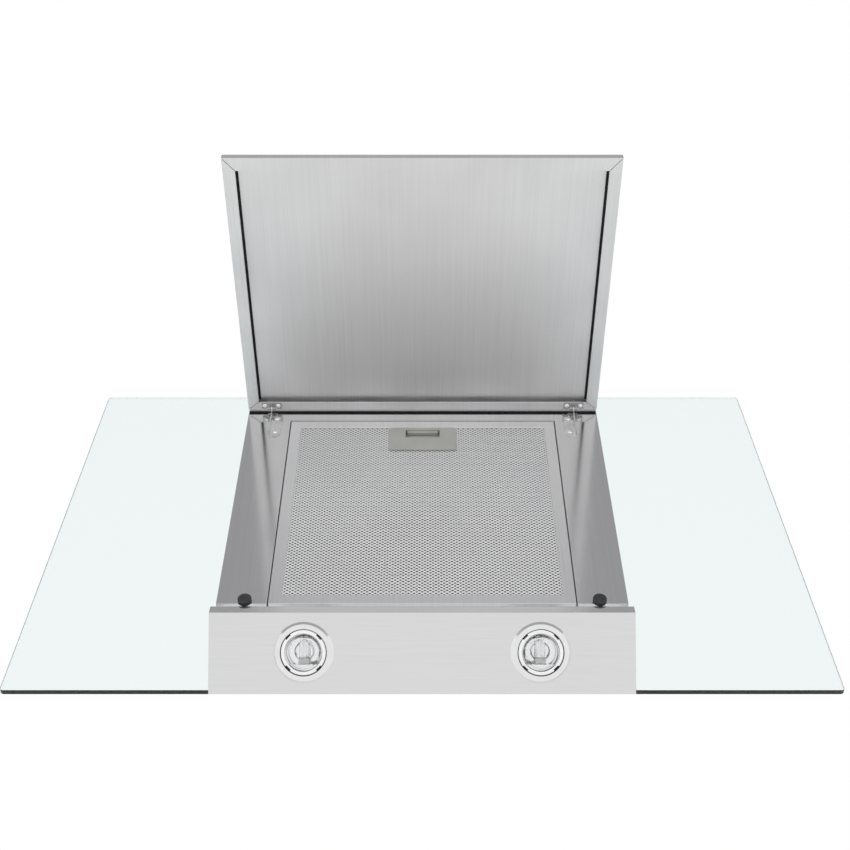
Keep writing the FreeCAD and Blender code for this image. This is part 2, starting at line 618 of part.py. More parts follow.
# ---------------------------------------------------------------- panel catches and hinges
for name, side in (("left", "0 - "), ("right", "")):
    post = rod("catch_radius", "catch_height")
    dome = doc.addObject("Part::Sphere", "Dome")
    tie(dome, Radius="catch_dome", Placement__Base__z="catch_height - catch_dome")
    cap = doc.addObject("Part::MultiCommon", "Cap")
    cap.Shapes = [post, dome]
    skirt = rod("catch_radius", "catch_height / 2")
    catch = joined(f"panel_catch_{name}", [cap, skirt])
    keep(on_slope(catch, (side + CATCH_X, "catch_run", "0")))

    # Bracket: a foot on the box, an upright along one side and an eye for the pin.
    inward = "" if side else "0 - "
    bracket = body(f"hinge_bracket_{name}")
    edge, far = f"{inward}(blade_thick / 2)", f"{inward}(blade_thick / 2 + base_width)"
    chamfer = f"{inward}(blade_thick / 2 + base_width - 5)"
    drawn = polygon(sketch(bracket, "XY"), (
        (f"{inward}(0 - blade_thick / 2)", "base_low"), (chamfer, "base_low"),
        (far, "base_low + 5"), (far, "base_high"), (f"{inward}(0 - blade_thick / 2)", "base_high"),
    ))
    for _, run in SCREWS:
        circle(drawn, f"{inward}((blade_thick + base_width) / 2)", run, "screw_shank + 0.1")
    pad(bracket, drawn, "leaf_thick")
    eye_x, eye_y = "hinge_run", "hinge_stand"
    pad(bracket, polygon(sketch(bracket, "YZ"), (
        ("base_low", "0"), ("base_high", "0"),
        (f"{eye_x} + blade_radius / 2", f"{eye_y} - blade_radius * 0.866"), (eye_x, eye_y),
        (f"{eye_x} - blade_radius + 0.6", f"{eye_y} - 0.6"), ("base_low", "2.5"),
    )), "blade_thick", "Symmetric")
    pad(bracket, circle(sketch(bracket, "YZ"), eye_x, eye_y, "blade_radius"), "blade_thick", "Symmetric")
    pocket(bracket, circle(sketch(bracket, "YZ"), eye_x, eye_y, "pin_radius + pin_play"),
           "blade_thick + 2", "Symmetric")
    keep(on_slope(bracket, (side + HINGE_X, "0", "0")))
    screws = []
    for _, run in SCREWS:
        at = f"{inward}((blade_thick + base_width) / 2)"
        screws.append(rod("screw_shank", "leaf_thick + box_sheet + 3", (at, run, "0 - box_sheet - 2.5")))
        screws.append(rod("screw_head", "screw_rise", (at, run, "leaf_thick")))
    keep(on_slope(joined(f"bracket_screws_{name}", screws), (side + HINGE_X, "0", "0")))

    # Panel leaf: a plate with two knuckles either side of the upright.
    leaf = body(f"hinge_leaf_{name}")
    drawn = polygon(sketch(leaf, "XY", "0 - (leaf_thick - panel_gap + hinge_stand)"), (
        ("0 - leaf_width / 2", "0 - leaf_length"), ("leaf_width / 2", "0 - leaf_length"),
        ("leaf_width / 2", "0.8"), ("knuckle_span + 1.2", "0.8"), ("knuckle_span + 1.2", "0 - 2.6"),
        ("knuckle_span", "0 - 2.6"), ("knuckle_span", "0"), ("0 - knuckle_span", "0"),
        ("0 - knuckle_span", "0 - 2.6"), ("0 - knuckle_span - 1.2", "0 - 2.6"),
        ("0 - knuckle_span - 1.2", "0.8"), ("0 - leaf_width / 2", "0.8"),
    ))
    for sign in ("0 - ", ""):
        circle(drawn, sign + LEAF_SCREW_X, "0 - leaf_screw_run", "screw_shank + 0.1")
    pad(leaf, drawn, "leaf_thick")
    pad(leaf, circle(sketch(leaf, "YZ"), "0", "0", "knuckle_radius"), "2 * knuckle_span", "Symmetric")
    pocket(leaf, rectangle(sketch(leaf, "XY"), "knuckle_gap", "0 - blade_radius - 0.5", "blade_radius + 2"),
           "4 * knuckle_radius", "Symmetric")
    pocket(leaf, circle(sketch(leaf, "YZ"), "0", "0", "pin_radius + pin_play"),
           "2 * knuckle_span + 4", "Symmetric")
    keep(on_panel(leaf, (side + HINGE_X, "0", "0")))
    keep(on_panel(joined(f"hinge_pin_{name}", [
        rod("pin_radius", "2 * knuckle_span + 1", ("0 - knuckle_span - 0.5", "0", "0"), "X"),
        rod("pin_radius + 0.8", "0.8", ("knuckle_span + 0.1", "0", "0"), "X"),
    ]), (side + HINGE_X, "0", "0")))
    face = "panel_gap - hinge_stand"
    screws = []
    for sign in ("0 - ", ""):
        at = sign + LEAF_SCREW_X
        screws.append(rod("screw_shank", "leaf_thick + panel_sheet + 3",
                          (at, "0 - leaf_screw_run", f"{face} - leaf_thick - 0.5")))
        screws.append(rod("screw_head - 0.6", "screw_rise",
                          (at, "0 - leaf_screw_run", f"{face} - leaf_thick - screw_rise")))
    keep(on_panel(joined(f"leaf_screws_{name}", screws), (side + HINGE_X, "0", "0")))

# ---------------------------------------------------------------- suction panel
# Folded tray: outer skin, four edges and a return flange that faces the filter.
panel = body("suction_panel")
front = "panel_gap - hinge_stand"
low, high = "hinge_edge - panel_length", "hinge_edge"
pad(panel, rectangle(sketch(panel, "XY", front), "box_width / 2", low, high), "panel_thick")
pocket(panel, polygon(sketch(panel, "YZ"), (
    (f"{low} + panel_sheet", f"{front} + panel_sheet"), (f"{high} - panel_sheet", f"{front} + panel_sheet"),
    (f"{high} - panel_sheet", f"{front} + panel_thick - panel_sheet"),
    (f"{low} + panel_sheet", f"{front} + panel_thick - panel_sheet"),
)), "box_width - 2 * panel_sheet", "Symmetric")
pocket(panel, rectangle(sketch(panel, "XY", front), "box_width / 2 - panel_flange",
                        f"{low} + panel_flange_far", f"{high} - panel_flange_near"),
       "panel_sheet + 0.5", back=True)
drawn = sketch(panel, "XY", front)
for sign in ("0 - ", ""):
    rectangle(drawn, "knuckle_span + 1.1", "0 - blade_radius - 0.5", f"{high} + 2", sign + HINGE_X)
pocket(panel, drawn, "knuckle_radius + 0.5", back=True)
drawn = sketch(panel, "XY", front)
for sign in ("0 - ", ""):
    for turn in ("0 - ", ""):
        circle(drawn, f"{sign}{HINGE_X} + ({turn}{LEAF_SCREW_X})", "0 - leaf_screw_run",
               "screw_shank + 0.1")
pocket(panel, drawn, "panel_sheet + 0.5", back=True)
keep(on_panel(panel))

# ---------------------------------------------------------------- grease filter
# Frame: a channel on all four sides that grips the layers of mesh.
frame = body("filter_frame")
drawn = rectangle(sketch(frame, "XY"), FILTER_HALF, "filter_front", "filter_back")
rectangle(drawn, f"{FILTER_HALF} - filter_border", "filter_front + filter_border",
          "filter_back - filter_border")
pad(frame, drawn, "filter_thick", back=True)
pocket(frame, rectangle(sketch(frame, "XY", "0 - filter_skin"), f"{FILTER_HALF} - filter_skin",
                        "filter_front + filter_skin", "filter_back - filter_skin"),
       "filter_thick - 2 * filter_skin")
tongue_z = "(cup_depth - cup_wall - 1.2)"
pocket(frame, rectangle(sketch(frame, "XZ", "6 - filter_back"), "tongue_width / 2 + latch_gap",
                        f"0 - {tongue_z} - latch_gap", f"0 - {tongue_z} + tongue_thick + latch_gap"), "12")
keep(on_slope(frame))


def layer(label, top, thick, cutout):
    """One sheet of the filter, held in the channel, cut out for the finger cup and latch."""
    made = body(label)
    drawn = sketch(made, "XY", f"0 - ({top})")
    half, notch = f"{FILTER_HALF} - filter_skin - 0.5", "slot_width / 2 + cup_wall + 0.4"
    low, high = "filter_front + filter_skin + 0.5", "filter_back - filter_skin - 0.5"
    if cutout == "open":
        polygon(drawn, (
            (f"0 - ({half})", low), (half, low), (half, high), (notch, high),
            (notch, "slot_low - cup_wall - 0.4"), (f"0 - ({notch})", "slot_low - cup_wall - 0.4"),
            (f"0 - ({notch})", high), (f"0 - ({half})", high),
        ))
    else:
        rectangle(drawn, half, low, high)
        if cutout:
            rectangle(drawn, notch, "slot_low - cup_wall - 0.4", "slot_high + cup_wall + 0.4")
    pad(made, drawn, thick, back=True)
    return on_slope(made)


keep(layer("filter_mesh", "filter_skin", "mesh_sheet", "closed"))
keep(layer("filter_core", "filter_skin + mesh_sheet",
           "filter_thick - 2 * filter_skin - 2 * mesh_sheet", "open"))
keep(layer("filter_back_mesh", "filter_thick - filter_skin - mesh_sheet", "mesh_sheet", ""))

# Handle plate with a finger cup let into the mesh.
handle = body("filter_handle")
drawn = polygon(sketch(handle, "XY", "0 - filter_skin"), (
    ("0 - handle_width / 2 + 2", "handle_low"), ("handle_width / 2 - 2", "handle_low"),
    ("handle_width / 2", "handle_low + 2"), ("handle_width / 2", "handle_high - 2"),
    ("handle_width / 2 - 2", "handle_high"), ("0 - handle_width / 2 + 2", "handle_high"),
    ("0 - handle_width / 2", "handle_high - 2"), ("0 - handle_width / 2", "handle_low + 2"),
))
pad(handle, drawn, "filter_skin + handle_proud")
pad(handle, rectangle(sketch(handle, "XY", "0 - filter_skin"), "slot_width / 2 + cup_wall",
                      "slot_low - cup_wall", "slot_high + cup_wall"), "cup_depth - filter_skin", back=True)
pocket(handle, rectangle(sketch(handle, "XY", "handle_proud"), "slot_width / 2", "slot_low", "slot_high"),
       "cup_depth + handle_proud - cup_wall")
pocket(handle, rectangle(sketch(handle, "XZ", "0 - slot_high + 1"), "tongue_width / 2 + latch_gap",
                         f"0 - {tongue_z} - latch_gap", f"0 - {tongue_z} + tongue_thick + latch_gap"),
       "cup_wall + 4")
keep(on_slope(handle))

# Latch: a finger bar across the cup and a tongue through the cup and the frame.
latch = body("filter_latch")
bar_high = "slot_high - latch_gap"
pad(latch, rectangle(sketch(latch, "XY", f"0 - {tongue_z} - 0.6"), "latch_width / 2",
                     f"{bar_high} - latch_bar", bar_high), f"{tongue_z} + 0.2")
pad(latch, rectangle(sketch(latch, "XY", f"0 - {tongue_z}"), "tongue_width / 2",
                     f"{bar_high} - latch_bar / 2", "filter_back - 3"), "tongue_thick")
keep(on_slope(latch))

# ---------------------------------------------------------------- blower casing
plate = body("wall_plate")
low_rise = glass_rise_at("casing_low", "0 - glass_thick - gasket_thick")
top_rise = glass_rise_at("casing_high", "0 - glass_thick - gasket_thick")
low_reach = glass_reach_at("casing_low", "0 - glass_thick - gasket_thick")
top_reach = glass_reach_at("casing_high", "0 - glass_thick - gasket_thick")
drawn = rectangle(sketch(plate, "XZ"), CASING_HALF, low_rise, top_rise)
for sign in ("0 - ", ""):
    for lift in ("- hole_spread_up / 2", "+ hole_spread_up / 2"):
        circle(drawn, f"{sign}(hole_spread_across / 2)", f"fixing_height {lift}", "wall_hole")
pad(plate, drawn, "plate_thick")
keep(upright(plate))

casing = body("blower_casing")
pad(casing, polygon(sketch(casing, "YZ"), (
    ("0 - plate_thick", low_rise), ("0 - plate_thick", top_rise),
    (f"0 - {top_reach}", top_rise), (f"0 - {low_reach}", low_rise),
)), f"2 * {CASING_HALF}", "Symmetric")
skin = "casing_sheet"
pocket(casing, polygon(sketch(casing, "YZ"), (
    ("5", f"{low_rise} + {skin}"), ("5", f"{top_rise} - {skin}"),
    (f"0 - {top_reach} + {skin} / sin(glass_slope) + {skin} / tan(glass_slope)", f"{top_rise} - {skin}"),
    (f"0 - {low_reach} + {skin} / sin(glass_slope) - {skin} / tan(glass_slope)", f"{low_rise} + {skin}"),
)), f"2 * {CASING_HALF} - 2 * casing_sheet", "Symmetric")
inner, outer = "0 - glass_thick - gasket_thick - 15", "0"
pocket(casing, polygon(sketch(casing, "YZ"), tuple(
    (f"0 - {glass_reach_at(g, z)}", glass_rise_at(g, z)) for g, z in (
        ("vent_low", inner), ("vent_low", outer), ("vent_high", outer), ("vent_high", inner))
)), f"2 * {VENT_HALF}", "Symmetric")
pocket(casing, rectangle(sketch(casing, "XY", top_rise), "scroll_width / 2",
                         f"0 - fan_reach - {THROAT}", "0 - fan_reach"), "casing_sheet + 2")
pocket(casing, circle(sketch(casing, "XY", top_rise), GLAND_X, "0 - gland_reach",
                      "gland_radius + 0.2"), "casing_sheet + 2")
keep(upright(casing))

seal = body("casing_gasket")
drawn = rectangle(sketch(seal, "XY", "0 - glass_thick"), CASING_HALF, "casing_low", "casing_high")
rectangle(drawn, VENT_HALF, "vent_low", "vent_high")
pad(seal, drawn, "gasket_thick", back=True)
keep(on_glass(seal))

# ---------------------------------------------------------------- fan scroll
# Each quarter of the scroll is an arc whose radius grows by a fixed step; the last one
# runs on into the outlet duct, which hangs from the top of the casing.
start, step = number("scroll_radius"), number("scroll_growth")
duct = number(f"{top_rise} - casing_sheet - fan_rise")


def scroll_face(extra):
    """The scroll's outline in the YZ plane, grown outwards by extra."""
    r1, r2, r3 = start + extra, start + step + extra, start + 2 * step + extra
    arcs = (((0, 0), r1, 90, 0), ((-step, 0), r2, 0, -90), ((-step, step), r3, -90, -180))
    edges, last = [], None
    for (cy, cz), radius, a0, a1 in arcs:
        spots = [Vector(0, cy + radius * math.cos(math.radians(a)), cz + radius * math.sin(math.radians(a)))
                 for a in (a0, (a0 + a1) / 2, a1)]
        edges.append(Part.Arc(*spots).toShape())
        last = spots[-1]
    first = Vector(0, 0, r1)
    up_far, up_near = Vector(0, last.y, duct), Vector(0, extra, duct)
    corner = Vector(0, extra, math.sqrt(r1 ** 2 - extra ** 2)) if extra else first
    if extra:
        a = math.degrees(math.atan2(corner.z, corner.y))
        spots = [Vector(0, r1 * math.cos(math.radians(b)), r1 * math.sin(math.radians(b)))
                 for b in (a, a / 2, 0)]
        edges[0] = Part.Arc(*spots).toShape()
    edges += [Part.LineSegment(last, up_far).toShape(), Part.LineSegment(up_far, up_near).toShape(),
              Part.LineSegment(up_near, corner).toShape()]
    return Part.Face(Part.Wire(edges))


wide, wall = number("scroll_width"), number("scroll_sheet")
shell = scroll_face(wall).extrude(Vector(wide + 2 * wall, 0, 0))
shell.translate(Vector(-wide / 2 - wall, 0, 0))
room = scroll_face(0).extrude(Vector(wide, 0, 0))
room.translate(Vector(-wide / 2, 0, 0))
eye = Part.makeCylinder(number("inlet_radius + 2"), 10, Vector(-wide / 2 - 5, 0, 0), Vector(1, 0, 0))
boss = Part.makeCylinder(number("shaft_radius + 8"), 10, Vector(wide / 2 - 5, 0, 0), Vector(1, 0, 0))
scroll = doc.addObject("Part::Feature", "scroll_casing")
scroll.Label = "scroll_casing"
scroll.Shape = shell.cut(room).cut(eye).cut(boss)
keep(upright(scroll, "0", "fan_reach", "fan_rise"))


def on_fan(thing, x="0"):
    """Turns a piece drawn upright so that its axis lies along X on the fan's axis."""
    thing.Placement = Placement(Vector(), Rotation(Vector(0, 1, 0), 90))
    return upright(thing, x, "fan_reach", "fan_rise")


# Bell-mouth air inlet on the left cheek of the scroll.
keep(on_fan(turned("inlet_ring", (
    ("inlet_radius", "0"), ("inlet_radius + 1.2", "inlet_depth * 0.45"),
    ("inlet_radius + 4", "inlet_depth * 0.85"), ("inlet_radius + 8", "inlet_depth"),
    ("inlet_radius + 14", "inlet_depth"), ("inlet_radius + 14", "inlet_depth + 1"),
    ("inlet_radius + 7.6", "inlet_depth + 1"), ("inlet_radius + 3", "inlet_depth * 0.85 + 1"),
    ("inlet_radius - 0.1", "inlet_depth * 0.45 + 1"), ("inlet_radius - 1.2", "0"),
)), "0 - scroll_width / 2 - scroll_sheet - inlet_depth - 1"))

# Fan wheel: forward-curved blades between a back disc and an end ring.
wheel = turned("impeller", (
    ("shaft_radius", "wheel_width / 2 - 22"), ("10", "wheel_width / 2 - 22"),
    ("11", "wheel_width / 2 - wheel_disc - 6"), ("16", "wheel_width / 2 - wheel_disc"),
    ("wheel_radius", "wheel_width / 2 - wheel_disc"), ("wheel_radius", "wheel_width / 2"),
    ("shaft_radius", "wheel_width / 2"),
))
drawn = sketch(wheel, "XZ")
polygon(drawn, (
    ("wheel_inner", "0 - wheel_width / 2"), ("wheel_radius + 0.8", "0 - wheel_width / 2"),
    ("wheel_radius + 0.8", "wheel_rim - wheel_width / 2"), ("wheel_inner", "wheel_rim - wheel_width / 2"),
))
rim = wheel.newObject("PartDesign::Revolution", "Rim")
drawn.addGeometry(Part.LineSegment(Vector(0, 0, 0), Vector(0, 10, 0)), True)
rim.Profile = drawn
rim.ReferenceAxis = (drawn, ["V_Axis"])
rim.Angle = 360
span = "wheel_radius - 0.4 - wheel_inner"
drawn = polygon(sketch(wheel, "XY", "0 - wheel_width / 2 + wheel_rim / 2"), (
    ("wheel_inner + 0.6", "0"), (f"wheel_inner + ({span}) * 0.4", "2.2"),
    (f"wheel_inner + ({span}) * 0.75", "5.4"), ("wheel_radius - 1.4", "9.2"),
    ("wheel_radius - 1.4 - blade_wall", "9.2 + blade_wall * 0.3"),
    (f"wheel_inner + ({span}) * 0.75 - blade_wall * 0.7", "5.4 + blade_wall"),
    (f"wheel_inner + ({span}) * 0.4 - blade_wall * 0.5", "2.2 + blade_wall"),
    ("wheel_inner + 0.6", "blade_wall"),
))
blade = pad(wheel, drawn, "wheel_width - wheel_rim / 2 - wheel_disc / 2")
blades = wheel.newObject("PartDesign::PolarPattern", "Blades")
blades.Originals = [blade]
blades.Axis = (drawn, ["N_Axis"])
blades.Angle = 360
blades.Occurrences = int(number("blade_count"))
tie(blades, Occurrences="blade_count")
wheel.Tip = blades
keep(on_fan(wheel))

shaft = rod("shaft_radius", "scroll_width / 2 + scroll_sheet + 24 - (wheel_width / 2 - 22)")
shaft.Label = "motor_shaft"
keep(on_fan(shaft, "wheel_width / 2 - 22"))

# Motor: a ribbed round case bolted to the closed cheek, with a bearing boss.
motor = turned("motor_body", (
    ("shaft_radius + pin_play", "0"), ("motor_radius - 4", "0"), ("motor_radius", "4"),
    ("motor_radius", "motor_length * 0.35"), ("motor_radius + 2.5", "motor_length * 0.36"),
    ("motor_radius + 2.5", "motor_length * 0.62"), ("motor_radius", "motor_length * 0.63"),
    ("motor_radius", "motor_length - 7"), ("motor_radius - 7", "motor_length"),
    ("0", "motor_length"), ("0", "30"), ("shaft_radius + pin_play", "30"),
))
keep(on_fan(motor, "scroll_width / 2 + scroll_sheet"))

# ---------------------------------------------------------------- outlet and flaps
collar = turned("outlet_collar", (
    ("outlet_radius - outlet_wall", "0"), ("outlet_flange", "0"), ("outlet_flange", "outlet_wall"),
    ("outlet_radius", "outlet_wall"), ("outlet_radius", "outlet_height"),
    ("outlet_radius - outlet_wall", "outlet_height"),
    ("outlet_radius - outlet_wall", "flap_height - flap_thick / 2"),
    ("outlet_radius - outlet_wall - 3", "flap_height - flap_thick / 2 - 0.2"),
    ("outlet_radius - outlet_wall", "flap_height - flap_thick / 2 - 3"),
))
drawn = sketch(collar, "YZ")
for sign in ("0 - ", ""):
    circle(drawn, f"{sign}flap_offset", "flap_height", "flap_pin + pin_play")
pocket(collar, drawn, "2 * outlet_flange", "Symmetric")
keep(upright(collar, "0", OUTLET_REACH, top_rise))
inside = "(outlet_radius - outlet_wall)"
keep(upright(joined("flap_pins", [
    rod("flap_pin", f"2 * {inside} + 2", (f"0 - {inside} - 1", f"{sign}flap_offset", "flap_height"), "X")
    for sign in ("0 - ", "")
]), "0", OUTLET_REACH, top_rise))
for name, sign, turn in (("front", "0 - ", "0 - 1"), ("rear", "", "1")):
    disc = rod(f"{inside} - 0.9", "flap_thick", ("0", "0", "flap_height - flap_thick / 2"))
    half = block(("0 - outlet_radius", "outlet_radius"),
                 ("flap_offset", "outlet_radius") if turn == "1"
                 else ("0 - outlet_radius", "0 - flap_offset"),
                 ("flap_height - 5", "flap_height + 5"))
    web = doc.addObject("Part::MultiCommon", "Web")
    web.Shapes = [disc, half]
    tube = rod("flap_eye", "120", ("0 - 60", f"{sign}flap_offset", "flap_height"), "X")
    bore = rod("flap_pin + pin_play", "160", ("0 - 80", f"{sign}flap_offset", "flap_height"), "X")
    flap = less(f"flap_{name}", joined("FlapBlank", [web, tube]), bore)
    keep(upright(flap, "0", OUTLET_REACH, top_rise))

# ---------------------------------------------------------------- electrics
edge = f"(casing_sheet - {CASING_HALF})"
span_y = ("0 - plate_thick - control_depth", "0 - plate_thick")
span_z = ("control_rise - fixing_height", "control_rise + control_height - fixing_height")
control = block((edge, f"{edge} + control_width"), span_y, span_z)
control.Label = "control_box"
lid = block((f"{edge} + control_width", f"{edge} + control_width + control_lid"), span_y, span_z)
lid.Label = "control_lid"
keep(control, lid)
reach = "plate_thick + clip_wall + capacitor_radius"
keep(upright(turned("capacitor", (
    ("0", "0"), ("capacitor_radius - 1", "0"), ("capacitor_radius", "1"),
    ("capacitor_radius", "capacitor_height - 2"), ("capacitor_radius - 2", "capacitor_height"),
    ("0", "capacitor_height"),
)), CAPACITOR_X, reach, "fixing_height - 40"))
strap = body("capacitor_clip")
drawn = circle(sketch(strap, "XY"), "0", "0", "capacitor_radius + clip_wall")
circle(drawn, "0", "0", "capacitor_radius + 0.05")
pad(strap, drawn, "14")
pad(strap, rectangle(sketch(strap, "XY"), "capacitor_radius + 8", "capacitor_radius",
                     "capacitor_radius + clip_wall"), "14")
keep(upright(strap, CAPACITOR_X, reach, "fixing_height - 18"))
gland = turned("cable_gland", (
    ("gland_bore", "0 - 10"), ("gland_radius", "0 - 10"), ("gland_radius", "0"),
    ("gland_radius + 3", "0"), ("gland_radius + 3", "6"), ("gland_radius + 1", "7"),
    ("gland_radius", "15"), ("gland_bore + 1", "18"), ("gland_bore", "18"),
))
keep(upright(gland, GLAND_X, "gland_reach", top_rise))

# ---------------------------------------------------------------- checks and export
doc.recompute()
for thing in doc.Objects:
    if {"Invalid", "Error"} & set(thing.State):
        raise RuntimeError(f"{thing.Label} ({thing.TypeId}) failed")
names = [thing.Label for thing in parts]
if len(set(names)) != len(names):
    raise RuntimeError("two pieces share a name")
for thing in parts:
    if thing.Shape.isNull() or not thing.Shape.isValid() or not thing.Shape.Solids:
        raise RuntimeError(f"{thing.Label} is not a sound solid")
os.makedirs("parts", exist_ok=True)
for thing in parts:
    thing.Shape.exportStep(f"parts/{thing.Label}.step")
print(len(parts), "pieces written")
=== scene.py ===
import bmesh
import bpy
from math import cos, pi, radians, sin
from mathutils import Matrix, Vector


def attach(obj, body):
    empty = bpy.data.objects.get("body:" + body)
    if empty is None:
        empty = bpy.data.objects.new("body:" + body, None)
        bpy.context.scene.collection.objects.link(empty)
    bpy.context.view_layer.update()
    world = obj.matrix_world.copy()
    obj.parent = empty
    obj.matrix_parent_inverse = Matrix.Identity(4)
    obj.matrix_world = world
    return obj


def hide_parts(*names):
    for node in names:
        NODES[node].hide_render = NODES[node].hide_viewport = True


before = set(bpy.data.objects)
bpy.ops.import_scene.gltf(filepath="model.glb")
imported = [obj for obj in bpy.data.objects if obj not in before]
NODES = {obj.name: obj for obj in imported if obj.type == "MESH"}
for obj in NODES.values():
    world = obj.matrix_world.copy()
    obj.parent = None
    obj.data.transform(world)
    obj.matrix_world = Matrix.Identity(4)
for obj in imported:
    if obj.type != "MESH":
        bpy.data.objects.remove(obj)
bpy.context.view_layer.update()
scene = bpy.context.scene

# ---------------------------------------------------------------- camera and studio
# The hood is seen from under the cooktop side, looking almost straight up at it.
# A pale floor lies below the camera, and soft lamps stand low on both sides.
camera = bpy.data.objects.new("Camera", bpy.data.cameras.new("Camera"))
scene.collection.objects.link(camera)
scene.camera = camera
camera.data.lens, camera.data.sensor_width = 55.06, 36
camera_place = 0.003, -0.2241, -1.6498
ahead, above = Vector((0, -0.04536, 0.99897)), Vector((0, -0.99897, -0.04536))
camera.matrix_world = Matrix.Translation(camera_place) @ Matrix(
    (ahead.cross(above), above, -ahead)).transposed().to_4x4()
scene.view_settings.view_transform = "Standard"


def sees_white(tree, camera_too):
    """A value that is 1 for glossy and transmission rays, and for camera rays if asked."""
    path = tree.nodes.new("ShaderNodeLightPath")
    seen = path.outputs["Is Glossy Ray"]
    for name in ("Is Transmission Ray", "Is Camera Ray")[:2 if camera_too else 1]:
        either = tree.nodes.new("ShaderNodeMath")
        either.operation = "MAXIMUM"
        tree.links.new(seen, either.inputs[0])
        tree.links.new(path.outputs[name], either.inputs[1])
        seen = either.outputs[0]
    return seen


world = bpy.data.worlds.new("Studio")
scene.world = world
world.use_nodes = True
sky = world.node_tree
strength = sky.nodes.new("ShaderNodeMapRange")
room_light, full_white = 0.72, 1
strength.inputs["To Min"].default_value = room_light
strength.inputs["To Max"].default_value = full_white
sky.links.new(sees_white(sky, True), strength.inputs["Value"])
sky.links.new(strength.outputs[0], sky.nodes["Background"].inputs["Strength"])
sky.nodes["Background"].inputs["Color"].default_value = (1, 1, 1, 1)

floor = bpy.data.objects.new("Floor", bpy.data.meshes.new("Floor"))
floor_half, floor_level = 7, -1.9
floor.data.from_pydata([(x * floor_half, y * floor_half, floor_level)
                        for x, y in ((-1, -1), (1, -1), (1, 1), (-1, 1))], [], [(0, 1, 2, 3)])
scene.collection.objects.link(floor)
pale = bpy.data.materials.new("Pale floor")
pale.use_nodes = True
tree = pale.node_tree
matt = tree.nodes["Principled BSDF"]
matt.inputs["Base Color"].default_value = (0.86, 0.86, 0.86, 1)
matt.inputs["Roughness"].default_value = 0.9
white = tree.nodes.new("ShaderNodeEmission")
either = tree.nodes.new("ShaderNodeMixShader")
tree.links.new(sees_white(tree, False), either.inputs[0])
tree.links.new(matt.outputs[0], either.inputs[1])
tree.links.new(white.outputs[0], either.inputs[2])
tree.links.new(either.outputs[0], tree.nodes["Material Output"].inputs["Surface"])
floor.data.materials.append(pale)

# The room in front of the hood is darker than the floor. Only glossy surfaces show it.
room = bpy.data.objects.new("Room side", bpy.data.meshes.new("Room side"))
room_half, room_near, room_low, room_high = 5, -3.2, -1.1, 2.6
room.data.from_pydata([(x * room_half, room_near, z) for x, z in (
    (-1, room_low), (1, room_low), (1, room_high), (-1, room_high))], [], [(0, 1, 2, 3)])
scene.collection.objects.link(room)
dim = bpy.data.materials.new("Room side")
dim.use_nodes = True
tree = dim.node_tree
tree.nodes.remove(tree.nodes["Principled BSDF"])
glow = tree.nodes.new("ShaderNodeEmission")
glow.inputs["Color"].default_value = (0.44, 0.44, 0.45, 1)
tree.links.new(glow.outputs[0], tree.nodes["Material Output"].inputs["Surface"])
room.data.materials.append(dim)
room.visible_camera = room.visible_diffuse = room.visible_shadow = room.visible_transmission = False

middle = Vector((0, -0.25, -0.1))
for name, spot, power, size in (("Left lamp", (-1.5, -0.9, -1.5), 16, 1.4),
                                ("Right lamp", (1.6, -0.7, -1.3), 10, 1.4),
                                ("Front lamp", (0.2, -2.1, -0.6), 14, 1.6)):
    lamp = bpy.data.objects.new(name, bpy.data.lights.new(name, "AREA"))
    lamp.data.energy, lamp.data.size = power, size
    lamp.location = spot
    lamp.rotation_euler = (middle - lamp.location).to_track_quat("-Z", "Y").to_euler()
    lamp.visible_camera = lamp.visible_glossy = lamp.visible_transmission = False
    scene.collection.objects.link(lamp)

# ---------------------------------------------------------------- glass canopy
# One sheet of clear toughened plate, 6 mm, with ground edges that look green end on.
# Four screws from behind clamp it to the box's flange, with a rubber frame between.
MM = 0.001
# Rises on the glass, the slope and the lamps count from the underside of the lamp strip,
# which is 260 mm below the frame's origin at the middle of the wall holes.
LIFT = -0.26
# Edges that bend more than this stay sharp in the shading, and may be rounded.
CREASE = radians(35)


def on_glass(x, up, out):
    """A point on the glass: across, up its slope and out of its room face, in mm."""
    lean, foot_reach, foot_rise = radians(53.7), 5.3, 1.9
    reach = foot_reach + up * cos(lean) + out * sin(lean)
    rise = foot_rise + up * sin(lean) - out * cos(lean)
    return Vector((x * MM, -reach * MM, rise * MM + LIFT))


def piece(name, mesh, node_body, slot, materials, *stands_for):
    """Puts a mesh in the scene and gives it its body and finish. The slot is not used."""
    made = bpy.data.objects.new(name, mesh)
    scene.collection.objects.link(made)
    for finish in materials:
        mesh.materials.append(finish)
    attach(made, node_body)
    if stands_for:
        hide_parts(*stands_for)
    return made


def soften(made, width, segments=2):
    """Rounds the edges, width in mm, with the flats kept flat in the shading."""
    edge = made.modifiers.new("Edges", "BEVEL")
    edge.width, edge.segments = width * MM, segments
    edge.limit_method, edge.angle_limit = "ANGLE", CREASE
    edge.use_clamp_overlap = False
    flat = made.modifiers.new("Flats", "WEIGHTED_NORMAL")
    flat.keep_sharp = True
    return made


def from_solid(node):
    """The CAD solid's faces joined up again as one clean mesh, for edges to be rounded."""
    weld, flat = 2e-6, radians(0.6)
    work = bmesh.new()
    work.from_mesh(NODES[node].data)
    bmesh.ops.remove_doubles(work, verts=work.verts, dist=weld)
    bmesh.ops.dissolve_limit(work, angle_limit=flat, verts=work.verts, edges=work.edges)
    for face in work.faces:
        face.smooth = True
    mesh = bpy.data.meshes.new(node)
    work.to_mesh(mesh)
    work.free()
    mesh.materials.clear()
    mesh.set_sharp_from_angle(angle=CREASE)
    return mesh


# The six sides of a box given as eight corners, four round one end and then four round
# the other.
CUBE = ((0, 3, 2, 1), (4, 5, 6, 7), (0, 1, 5, 4), (1, 2, 6, 5), (2, 3, 7, 6), (3, 0, 4, 7))


